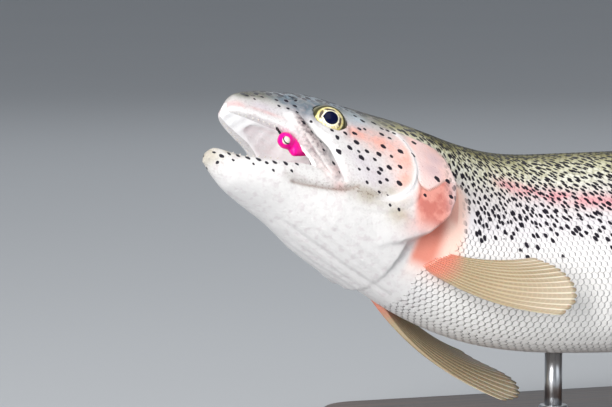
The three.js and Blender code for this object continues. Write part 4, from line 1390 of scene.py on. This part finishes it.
@dataclass
class Scales:
    """Rows of small round overlapping scales over the whole trunk, one mesh for each side."""

    rows: int = 50
    pitch: float = 3.0             # along the body where it is deepest
    lift: float = 0.09
    finish: TroutFinish = field(default_factory=TroutFinish)

    def sheet(self) -> tuple[Array, Array, Array]:
        """The left side of the trunk as an even net, with its outward directions and half girths.

        Returns:
            Points and normals by place along and share of the half girth from the back, and the half girth.
        """
        along = np.arange(NET_START, int(TAIL_ROOT) + 4)
        fine = np.linspace(math.pi / 2, -math.pi / 2, 361)
        x, angle = (grid.ravel() for grid in np.meshgrid(along.astype(float), fine, indexing="ij"))
        ring = flesh(x, angle).reshape(len(along), len(fine), 3)
        strides = np.linalg.norm(np.diff(ring, axis=1), axis=2)
        arc = np.concatenate([np.zeros((len(along), 1)), np.cumsum(strides, axis=1)], axis=1)
        share = np.linspace(0, 1, HALF_GIRTH_STEPS + 1)
        net = np.stack([[np.interp(share * length[-1], length, points[:, k]) for k in range(3)]
                        for length, points in zip(arc, ring)]).transpose(0, 2, 1)
        normal = np.cross(np.gradient(net, axis=0), np.gradient(net, axis=1))
        normal /= np.linalg.norm(normal, axis=2, keepdims=True)
        return net, np.where(normal[:, :, 1:2] < 0, -normal, normal), arc[:, -1]

    def roots(self, girth: Array) -> Array:
        """Each scale's place along, share of the half girth, and size; alternate rows are staggered."""
        stations = np.arange(NET_START, NET_START + len(girth))
        strides = [float(NET_START)]
        while strides[-1] < TAIL_ROOT + 2:
            deep = np.interp(strides[-1], stations, girth) / girth.max()
            strides.append(strides[-1] + self.pitch * math.sqrt(deep))
        columns = np.array(strides)
        rng = np.random.default_rng(SEED)
        found = []
        for row in range(self.rows):
            share = (row + 0.5) / self.rows
            shift = 0.5 * (row % 2)
            x = np.interp(np.arange(len(columns) - 1) + shift, np.arange(len(columns)), columns)
            size = np.interp(x, stations, girth) / girth.max()
            found.append(np.stack([x, np.full(len(x), share), size], axis=1))
        roots = np.concatenate(found)
        roots[:, 0] += rng.normal(0, 0.08, len(roots))
        roots[:, 1] += rng.normal(0, 0.02, len(roots)) / self.rows
        return roots

    def read_net(self, net: Array, x: Array, share: Array) -> Array:
        """Reads the net between its points."""
        i = np.clip(x - NET_START, 0, len(net) - 1.001)
        k = np.clip(share, 0, 1) * HALF_GIRTH_STEPS * 0.99999
        i0, k0 = i.astype(int), k.astype(int)
        s, t = (i - i0)[:, None], (k - k0)[:, None]
        return ((net[i0, k0] * (1 - s) + net[i0 + 1, k0] * s) * (1 - t)
                + (net[i0, k0 + 1] * (1 - s) + net[i0 + 1, k0 + 1] * s) * t)

    def template(self) -> Mesh:
        """One scale lying flat: x tailward 0 to 1, y across -1 to 1, z its row from root to tucked-in rim."""
        bm = bmesh.new()
        bmesh.ops.create_grid(bm, x_segments=4, y_segments=3, size=1.0)
        for vertex in bm.verts:
            row = round((vertex.co.x + 1) * 2)
            across = vertex.co.y
            reach = SCALE_REACH[row] * (1 - SCALE_ROUNDING[row] * across**2)
            vertex.co = (reach, across * SCALE_SPAN[row], row)
        return mesh_from(bm, "scale")

    def build(self) -> list[Piece]:
        """Lays the scales on both sides.

        Returns:
            The two pieces.
        """
        net, normals, girth = self.sheet()
        roots = self.roots(girth)
        start = self.read_net(net, roots[:, 0], roots[:, 1])
        edge = read_line(SCALE_START, start[:, 2])
        roots = roots[(start[:, 0] > edge) & (start[:, 0] < TAIL_ROOT + 1)]
        blank = modified(self.template(), "ARRAY", count=len(roots), use_relative_offset=False,
                         use_constant_offset=True, constant_offset_displace=(BLANK_GAP, 0.0, 0.0))
        local = coordinates(blank)
        own = np.clip(np.floor(local[:, 0] / BLANK_GAP + 0.125).astype(int), 0, len(roots) - 1)
        reach, across, row = local[:, 0] - BLANK_GAP * own, local[:, 1], np.rint(local[:, 2]).astype(int)
        x0, share0, size = roots[own].T
        x = x0 + reach * SCALE_LENGTH * self.pitch * np.sqrt(size)
        share = share0 + across * SCALE_WIDTH / self.rows
        rise = np.array([-0.14, 0.03, 0.1, self.lift, -0.06])[row] * np.sqrt(size) - 0.07 * across**2
        rise *= np.interp(share0, (0.4, 0.75), (1.0, 0.4))
        surface = self.read_net(net, x, share)
        points = surface + self.read_net(normals, x, share) * rise[:, None]
        crossed = np.clip(share, 0, 1) != share
        points[crossed, 1] *= -0.2      # past the back or belly line: tucked under the other side's scales
        fields = MARKINGS.fields(surface)
        corner = face_corners(blank)
        rims = (row[corner].reshape(-1, 4) == len(SCALE_REACH) - 1).any(axis=1)
        middle = np.stack([(x0 - MAP_START) / MAP_LENGTH, share0 * 0.96 + 0.02], axis=1)
        patch = middle + np.stack([reach - 0.5, across * 0.5], axis=1) * MAP_PATCH
        pieces = []
        for side, name in ((1, "scales_left"), (-1, "scales_right")):
            mesh = blank.copy()
            flip = np.array([1, side, 1])
            for key, values in fields.items():
                store(mesh, key, values if values.ndim == 1 else values * flip)
            bake_map = mesh.uv_layers.new(name="OFBake")
            bake_map.data.foreach_set("uv", patch[corner].astype(np.float32).ravel())
            set_coordinates(mesh, SPINE.carry(points * flip))
            if side > 0:
                mesh.flip_normals()
            pieces.append(finished(mesh, name, self.finish.dress(Layer.SCALES), flat=rims))
            log.info("%s: %d scales, %d faces", name, len(roots), len(mesh.polygons))
        return pieces


@dataclass
class Teeth:
    """The small teeth that show along both lips."""

    upper: tuple[float, ...] = (5, 8, 11, 13.5, 16, 18.5, 21, 24)
    lower: tuple[float, ...] = (4, 7, 10, 12.5, 15, 17.5, 20, 23)
    height: float = 1.05
    base: float = 0.36

    def tooth(self, root: Vector, height: float) -> Mesh:
        """One slightly hooked cone."""
        bm = bmesh.new()
        bmesh.ops.create_cone(bm, cap_ends=True, segments=10, radius1=self.base, radius2=0.05,
                              depth=abs(height), matrix=Matrix.Translation((0, 0, abs(height) / 2)))
        for vertex in bm.verts:
            tip = vertex.co.z / abs(height)
            vertex.co.x += 0.5 * tip * tip
            vertex.co.z *= math.copysign(1, height)
            vertex.co += root
        bmesh.ops.recalc_face_normals(bm, faces=bm.faces)
        return mesh_from(bm, "tooth")

    def build(self) -> Piece:
        """Sets every tooth in its lip as one piece."""
        cones = []
        for side in (1, -1):
            for x in self.upper:
                root = Vector((x, side * (HEAD_WIDTH(x) - 1.9), SKULL_UNDERSIDE(x) + 0.5))
                cones.append(self.tooth(root, -self.height))
            for x in self.lower:
                root = Vector((x, side * (JAW_WIDTH(x) - 1.8), JAW_TOP(x) - 0.9))
                cones.append(self.tooth(root, self.height))
        mesh = joined(cones, "teeth")
        set_coordinates(mesh, SPINE.carry(coordinates(mesh)))
        mesh.flip_normals()
        enamel = PlainFinish("tooth", "f3eee6", "e6dccb", 0.3, coat=0.4).dress()
        return finished(mesh, "teeth", enamel)


@dataclass
class Eyes:
    """Both eyes: gold irises a little sunk round a bulging pupil."""

    finish: EyeFinish = field(default_factory=EyeFinish)

    def build(self) -> list[Piece]:
        """Makes each eye, looking outward, forward and a little down."""
        pieces = []
        for side, node in ((1, "eye_left"), (-1, "eye_right")):
            gaze = np.array([-math.sin(EYE_FORWARD) * math.cos(EYE_DOWN),
                             side * math.cos(EYE_FORWARD) * math.cos(EYE_DOWN), -math.sin(EYE_DOWN)])
            level = np.array([math.cos(EYE_FORWARD), side * math.sin(EYE_FORWARD), 0.0])
            upward = np.cross(level, gaze) * side
            mesh = sphere((0, 0, 0), 1.0, 96)
            local = coordinates(mesh)
            ring = np.hypot(local[:, 0], local[:, 1])
            front = local[:, 2] > 0
            dip = 0.028 * smooth(0.335, 0.39, ring) * smooth(0.78, 0.66, ring) * front
            turned = local[:, :1] * level + local[:, 1:2] * upward + local[:, 2:] * gaze
            points = turned * (1 - dip)[:, None] * EYE_RADIUS + np.array(EYE_PLACE) * np.array([1, side, 1])
            flat = np.where(front[:, None], local, local / np.maximum(ring, 0.1)[:, None])
            store(mesh, "eye_pos", flat * np.array([1, 1, 0]))
            set_coordinates(mesh, SPINE.carry(points))
            face_outward(mesh)
            pieces.append(finished(mesh, f"{node}_ball", self.finish.dress(), [node]))
        return pieces


# ---------------------------------------------------------------- fins


@dataclass
class Fin:
    """A rayed fin between a root line and an outer edge, in body coordinates."""

    name: str
    root: tuple[tuple[float, float, float], ...]
    edge: tuple[tuple[float, float, float], ...]
    thick: float
    finish: FinFinish
    rays: float = 12
    bow: float = 0.0
    both: bool = False
    across: int = 96
    out: int = 30

    def line(self, corners: Corners, at: Array) -> Array:
        """Points at shares of a smooth line's length."""
        path = rounded(corners, 10)
        arc = np.concatenate([[0], np.cumsum(np.linalg.norm(np.diff(path, axis=0), axis=1))])
        return np.stack([np.interp(at * arc[-1], arc, path[:, k]) for k in range(3)], axis=1)

    def middle(self, across: Array, out: Array) -> Array:
        """The fin's middle surface, its rays gently swept and its edge scalloped between them."""
        root, edge = self.line(self.root, across), self.line(self.edge, across)
        ray = np.abs(np.sin(across * math.pi * self.rays))
        reach = out * (1 + (0.02 * (ray - 1)) * smooth(0.7, 1.0, out))
        return root + (edge - root) * reach[:, None]

    def shell(self) -> Mesh:
        """The fin as a closed thin body with a ridge for every ray."""
        bm = bmesh.new()
        bmesh.ops.create_grid(bm, x_segments=self.across, y_segments=self.out, size=1.0)
        push_up(bm, (0, 0, 1))
        mesh = mesh_from(bm, self.name)
        local = coordinates(mesh)
        across, out = (local[:, 0] + 1) / 2, (local[:, 1] + 1) / 2
        side = local[:, 2] * 2 - 1
        centre = self.middle(across, out)
        h = 1e-3
        du = self.middle(np.clip(across + h, 0, 1), out) - self.middle(np.clip(across - h, 0, 1), out)
        dv = self.middle(across, np.clip(out + h, 0, 1)) - self.middle(across, np.clip(out - h, 0, 1))
        normal = np.cross(du, dv)
        normal /= np.linalg.norm(normal, axis=1, keepdims=True)
        ray = np.abs(np.sin(across * math.pi * self.rays))
        taper = (1 - out) ** 1.6
        half = 0.5 * (0.55 + (self.thick - 0.7) * taper) * (0.72 + 0.28 * ray * (self.rays > 1))
        rim = smooth(0, 0.025, across) * smooth(1, 0.975, across)
        half *= 0.35 + 0.65 * rim
        billow = 0.5 * smooth(0.4, 1, out) * np.sin(across * 9.0) * (self.rays > 1)
        wave = self.bow * np.sin(out * math.pi * 0.9) + billow
        points = centre + normal * (wave + side * half)[:, None]
        store(mesh, "fin_pos", np.stack([across, out, np.zeros_like(out)], axis=1))
        store(mesh, "body_pos", points * MM)
        set_coordinates(mesh, points)
        return mesh

    def build(self) -> list[Piece]:
        """Makes the fin, or the pair of them."""
        shell = self.shell()
        meshes = {self.name: shell}
        if self.both:
            meshes = {f"{self.name}_left": shell, f"{self.name}_right": mirror_copy(shell)}
        pieces = []
        for node, mesh in meshes.items():
            set_coordinates(mesh, SPINE.carry(coordinates(mesh)))
            face_outward(mesh)
            pieces.append(finished(mesh, f"{node}_rayed", self.finish.dress(), [node]))
        return pieces


BACK_FIN = FinFinish("back", "a9a267", "6d6a45", "c3b48d", 0.75, 12)
TAIL_FIN = FinFinish("tail", "a39a68", "706946", "b59a80", 0.8, 19)
FATTY_FIN = FinFinish("fatty", "8d895a", "7d7a50", "b9a97e", 0.35, 1)
LOWER_FIN = FinFinish("lower", "d3b497", "b08468", "efe6da", 0.0, 11, "dc9c86")
BREAST_FIN = FinFinish("breast", "bba98a", "85704e", "d8cdb8", 0.0, 13, "d97f6c")


def all_fins() -> list[Fin]:
    """The fish's fins."""
    return [
        Fin("fin_dorsal", ((238, 0, 51), (266, 0, 49), (296, 0, 45)),
            ((260, 0, 95), (270, 0, 97), (290, 0, 84), (303, 0, 69), (311, 0, 57)), 4, BACK_FIN, 12),
        Fin("fin_adipose", ((398, 0, 31), (407, 0, 29)),
            ((411, 0, 43), (417, 0, 47), (423, 0, 44.5), (423, 0, 40.5)), 2.6, FATTY_FIN, 1),
        Fin("fin_anal", ((351, 0, -35), (374, 0, -30), (394, 0, -25)),
            ((374, 0, -75), (382, 0, -77), (394, 0, -61), (402, 0, -48), (408, 0, -37)), 3.4, LOWER_FIN, 11),
        Fin("fin_tail", ((474, 0, 20), (479, 0, 0), (474, 0, -18)),
            ((546, 0, 58), (542, 0, 47), (534, 0, 24), (531, 0, 0), (534, 0, -22), (541, 0, -45),
             (545, 0, -56)), 6, TAIL_FIN, 19, across=140),
        Fin("fin_pelvic", ((256, 9, -50), (263, 11, -50), (270, 12, -49)),
            ((286, 15, -81), (291, 18, -80), (297, 21, -71), (299, 20, -63)), 3, LOWER_FIN, 10, 0.8, True),
        Fin("fin_pectoral", ((105, 16, -35), (109, 19, -32), (114, 21, -27)),
            ((161, 31, -62), (168, 33, -57), (169, 35, -48), (163, 36, -39), (152, 35, -31)), 3.6,
            BREAST_FIN, 13, 1.2, True),
    ]


# ---------------------------------------------------------------- the lure


@dataclass
class Lure:
    """A small soft lure with a pearl bead and a dark wire hook, lodged in the left corner of the mouth."""

    side: float = 11.0
    crest: Curve = Curve(((23.9, -5.2), (25, -3.3), (27.5, -2.3), (30.5, -2.7), (34, -1.9), (37, -3),
                          (40.8, -6)))
    keel: Curve = Curve(((23.9, -6.6), (25, -8.8), (27.9, -9.7), (30.6, -9.2), (33, -11.2), (36, -9.8),
                         (40.8, -6.9)))
    width: Curve = Curve(((23.9, 0.7), (25, 2.5), (27.9, 3.6), (30.6, 2.9), (34, 2.5), (40.8, 0.6)))
    bead_place: tuple[float, float, float] = (26.6, 12.7, -7.5)
    bead_radius: float = 1.9
    wire: tuple[tuple[float, float, float], ...] = (
        (23.4, 10.6, -2.7), (25.5, 10.9, -4.2), (31, 11, -5.4), (37, 10.8, -5.8), (42.5, 9.5, -6.2),
        (46, 8, -8.7), (45, 7, -12), (42, 6.5, -13))
    wire_radius: float = 0.55
    wire_sides: int = 12

    def body(self) -> Mesh:
        """The lure's round head and flat, ribbed tail."""
        level = Curve(tuple((x, (z + float(self.keel(x))) / 2) for x, z in self.crest.points))
        section = Section(self.crest, self.keel, self.width, level, 2.0, 2.0)

        def outline(x: Array, angle: Array) -> Array:
            """The lure's section, set out to the side and ribbed along its tail."""
            points = section.ring(x, angle)
            ribs = 1 + 0.03 * np.sin(x * 4.2) * smooth(30, 32, x)
            points[:, 1] = points[:, 1] * ribs + self.side
            return points

        front_tip = [23.9, 24.05, 24.3, 24.7]
        stations = np.concatenate([front_tip, even(25.1, 40.8, 0.35)])
        return lofted("lure", stations, 48, outline)

    def tube(self, path: Array, radius: float, closed: bool = False) -> Mesh:
        """A round wire along a path, pointed at its far end unless it is a ring.

        Args:
            path: Points along the wire's middle.
            radius: The wire's radius.
            closed: Whether the path is a ring.

        Returns:
            The mesh, in body coordinates.
        """
        count = len(path)
        ahead = np.roll(path, -1, axis=0) - np.roll(path, 1, axis=0)
        if not closed:
            ahead[0], ahead[-1] = path[1] - path[0], path[-1] - path[-2]
        ahead /= np.linalg.norm(ahead, axis=1, keepdims=True)
        first = np.cross(ahead, [0.0, 1.0, 0.0])
        first /= np.linalg.norm(first, axis=1, keepdims=True)
        second = np.cross(ahead, first)
        sizes = np.full(count, radius) if closed else radius * np.minimum(1, (count - np.arange(count)) / 9.0)

        def outline(at: Array, angle: Array) -> Array:
            """The wire's surface at a point of its path."""
            i = np.rint(at).astype(int)
            outward = first[i] * np.cos(angle)[:, None] + second[i] * np.sin(angle)[:, None]
            return path[i] + outward * sizes[i][:, None]

        sides = self.wire_sides
        if not closed:
            return lofted("wire", np.arange(count), sides, outline)
        bm = bmesh.new()
        turns = np.arange(sides) * 2 * math.pi / sides
        rings = [[bm.verts.new(point) for point in outline(np.full(sides, k), turns)] for k in range(count)]
        for ring, following in zip(rings, rings[1:] + rings[:1]):
            for k in range(sides):
                after = (k + 1) % sides
                bm.faces.new((ring[k], ring[after], following[after], following[k]))
        bmesh.ops.recalc_face_normals(bm, faces=bm.faces)
        return mesh_from(bm, "ring")

    def hoop(self, centre: Sequence[float], facing: Vector3, radius: float, thick: float) -> Mesh:
        """A wire ring round a direction."""
        axis = np.asarray(facing, dtype=float)
        axis /= np.linalg.norm(axis)
        first = np.cross(axis, [0.0, 0.0, 1.0])
        first /= np.linalg.norm(first)
        second = np.cross(axis, first)
        turn = np.linspace(0, 2 * math.pi, 28, endpoint=False)[:, None]
        circle = first * np.cos(turn) + second * np.sin(turn)
        return self.tube(np.asarray(centre) + circle * radius, thick, True)

    def place(self, mesh: Mesh, node: str, slot: str,
              material: bpy.types.Material) -> Piece:
        """Carries a mesh onto the spine as the piece that replaces a node."""
        set_coordinates(mesh, SPINE.carry(coordinates(mesh)))
        mesh.flip_normals()
        return finished(mesh, f"{node}_fine", material, [node])

    def build(self) -> list[Piece]:
        """Makes the lure's body, bead and hook."""
        steel = PlainFinish("hook", "1b1b1f", "2c2b30", 0.32, metallic=0.9, grain=1600.0).dress()
        pearl = PlainFinish("pearl", "e6e1d0", "cfd6c4", 0.16, coat=1.0, grain=420.0).dress()
        body = self.place(self.body(), "lure_body", "lure_paint", LurePaint().dress())
        bead = self.place(sphere(self.bead_place, self.bead_radius, 40), "lure_bead", "lure_pearl", pearl)
        eyelet = self.hoop((22.9, 10.5, -2.2), (0.2, 1.0, 0.2), 0.75, 0.26)
        band = self.hoop(np.array(self.bead_place) + np.array([0.0, 0.55, 0.0]), (0.0, 1.0, 0.0), 1.78, 0.28)
        hook = joined([self.tube(rounded(self.wire, 8), self.wire_radius), eyelet, band], "hook")
        return [body, bead, self.place(hook, "lure_hook", "hook_wire", steel)]


# ---------------------------------------------------------------- stand and studio


@dataclass
class Stand:
    """A flat walnut base with two short steel rods."""

    corner: float = 22.0
    bevel: float = 2.0
    collar_radius: float = 7.5
    collar_height: float = 5.0
    hidden: float = 2.0            # how far the rods run on into the belly

    def base(self) -> Piece:
        """The rounded base board."""
        low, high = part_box("stand_base")
        size, centre = high - low, (high + low) / 2
        bm = bmesh.new()
        bmesh.ops.create_cube(bm, size=1.0, matrix=Matrix.Translation(centre) @ Matrix.Diagonal((*size, 1.0)))
        upright = [e for e in bm.edges if abs(e.verts[0].co.z - e.verts[1].co.z) > 1e-4]
        soften(bm, upright, self.corner * MM, 12)
        level = [e for e in bm.edges if abs(e.verts[0].co.z - e.verts[1].co.z) < 1e-5
                 and len(e.link_faces) == 2 and any(abs(f.normal.z) > 0.9 for f in e.link_faces)]
        soften(bm, level, self.bevel * MM, 4)
        bmesh.ops.recalc_face_normals(bm, faces=bm.faces)
        return finished(mesh_from(bm, "base"), "base_board", WoodFinish().dress(),
                        ["stand_base"])

    def post(self, bm: bmesh.types.BMesh, centre: Vector, ends: tuple[float, float],
             radii: tuple[float, float], segments: int) -> list[bmesh.types.BMVert]:
        """Adds an upright cylinder or cone.

        Args:
            bm: The mesh that it joins.
            centre: Its place seen from above.
            ends: The heights of its foot and its top, in metres.
            radii: Its radius at foot and top.
            segments: Points round it.

        Returns:
            Its vertices.
        """
        foot, top = ends
        middle = Matrix.Translation((centre.x, centre.y, (foot + top) / 2))
        return bmesh.ops.create_cone(bm, cap_ends=True, segments=segments, radius1=radii[0],
                                     radius2=radii[1], depth=top - foot, matrix=middle)["verts"]

    def rod(self, node: str, material: bpy.types.Material) -> Piece:
        """One rod with a collar at its foot; its top is hidden in the belly."""
        low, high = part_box(node)
        centre = (low + high) / 2
        foot, top = BASE_TOP * MM, high.z + self.hidden * MM
        radius, height = ROD_RADIUS * MM, self.collar_height * MM
        bm = bmesh.new()
        self.post(bm, centre, (foot, top), (radius, radius), 40)
        collar_radius = self.collar_radius * MM
        collar = self.post(bm, centre, (foot, foot + height), (collar_radius, collar_radius * 0.86), 48)
        edges = {edge for vertex in collar for edge in vertex.link_edges}
        soften(bm, [e for e in edges if abs(e.verts[0].co.z - e.verts[1].co.z) < 1e-6], 0.0007, 3)
        return finished(mesh_from(bm, "rod"), f"{node}_steel", material, [node])

    def build(self) -> list[Piece]:
        """Makes the base and both rods."""
        steel = PlainFinish("rod_steel", "c3c5c8", "a9abaf", 0.3, metallic=1.0, grain=900.0,
                            stretch=(1.0, 1.0, 0.03)).dress()
        return [self.base()] + [self.rod(node, steel) for node in RODS]


# each lamp's name, place in metres, size, power in watts and colour
LAMPS = (("overhead", (-0.2, -0.9, 2.1), 1.4, 20.0, (1.0, 0.99, 0.97)),
         ("key", (-1.7, -1.3, 1.5), 0.9, 31.0, (1.0, 0.98, 0.95)),
         ("front", (-1.6, -1.2, 0.3), 0.8, 27.0, (1.0, 0.99, 0.98)),
         ("fill", (1.2, -2.0, 0.8), 1.4, 7.0, (0.94, 0.97, 1.0)),
         ("rim", (0.6, 1.8, 1.4), 1.2, 5.0, (0.95, 0.98, 1.0)))


@dataclass
class Studio:
    """A large pale floor, soft lamps and the camera."""

    floor_half: float = 14.0
    azimuth: float = math.radians(22.0)
    elevation: float = math.radians(5.0)
    distance: float = 1.6
    focal_px: float = 3664.0
    target: tuple[float, float, float] = (-0.1746, -0.0371, 0.1165)
    aim: tuple[float, float, float] = (-0.05, 0.0, 0.1)    # where every lamp points
    image_width: int = 612
    sensor: float = 36.0

    def floor(self) -> Piece:
        """The floor."""
        bm = bmesh.new()
        bmesh.ops.create_grid(bm, x_segments=8, y_segments=8, size=self.floor_half)
        piece = place_object(mesh_from(bm, "floor"), "floor")
        n = Nodes("floor")
        cloud = n.noise(n.object_place(), 1.3)
        n.surface(Base_Color=n.mix(cloud * 0.2, "b9bcc0", "acb0b5"), Roughness=cloud * 0.1 + 0.6)
        piece.data.materials.append(n.material)
        return piece

    def lamp(self, name: str, place: Vector3, size: float, power: float, colour: Vector3) -> None:
        """One soft square lamp aimed at the fish."""
        data = bpy.data.lights.new(name, "AREA")
        data.energy, data.size, data.color = power, size, colour
        lamp = bpy.data.objects.new(name, data)
        lamp.location = place
        lamp.rotation_euler = (Vector(self.aim) - Vector(place)).to_track_quat("-Z", "Y").to_euler()
        bpy.context.scene.collection.objects.link(lamp)

    def light(self) -> None:
        """The lamps and a pale sky, with colours shown as they are."""
        for lamp in LAMPS:
            self.lamp(*lamp)
        bpy.context.scene.view_settings.view_transform = "Standard"
        world = bpy.data.worlds.new("sky")
        world.use_nodes = True
        sky = world.node_tree.nodes["Background"]
        sky.inputs["Color"].default_value = tone("c3c8ce")
        sky.inputs["Strength"].default_value = 0.5
        bpy.context.scene.world = world

    def camera(self) -> None:
        """The camera, off the fish's left bow and a little above it."""
        data = bpy.data.cameras.new("camera")
        data.sensor_width = self.sensor
        data.lens = self.focal_px / self.image_width * self.sensor
        data.clip_end = 100.0
        ahead = Vector((math.sin(self.azimuth) * math.cos(self.elevation),
                        math.cos(self.azimuth) * math.cos(self.elevation), -math.sin(self.elevation)))
        camera = bpy.data.objects.new("camera", data)
        camera.location = Vector(self.target) - ahead * self.distance
        camera.rotation_euler = ahead.to_track_quat("-Z", "Y").to_euler()
        bpy.context.scene.collection.objects.link(camera)
        bpy.context.scene.camera = camera


def main() -> None:
    """Builds the trout, its lure, the stand and the studio."""
    logging.basicConfig(level=logging.INFO, format="%(message)s")
    Skin().build()
    Scales().build()
    Teeth().build()
    Eyes().build()
    for fin in all_fins():
        fin.build()
    Lure().build()
    Stand().build()
    studio = Studio()
    studio.floor()
    studio.light()
    studio.camera()


if __name__ == "__main__":
    main()
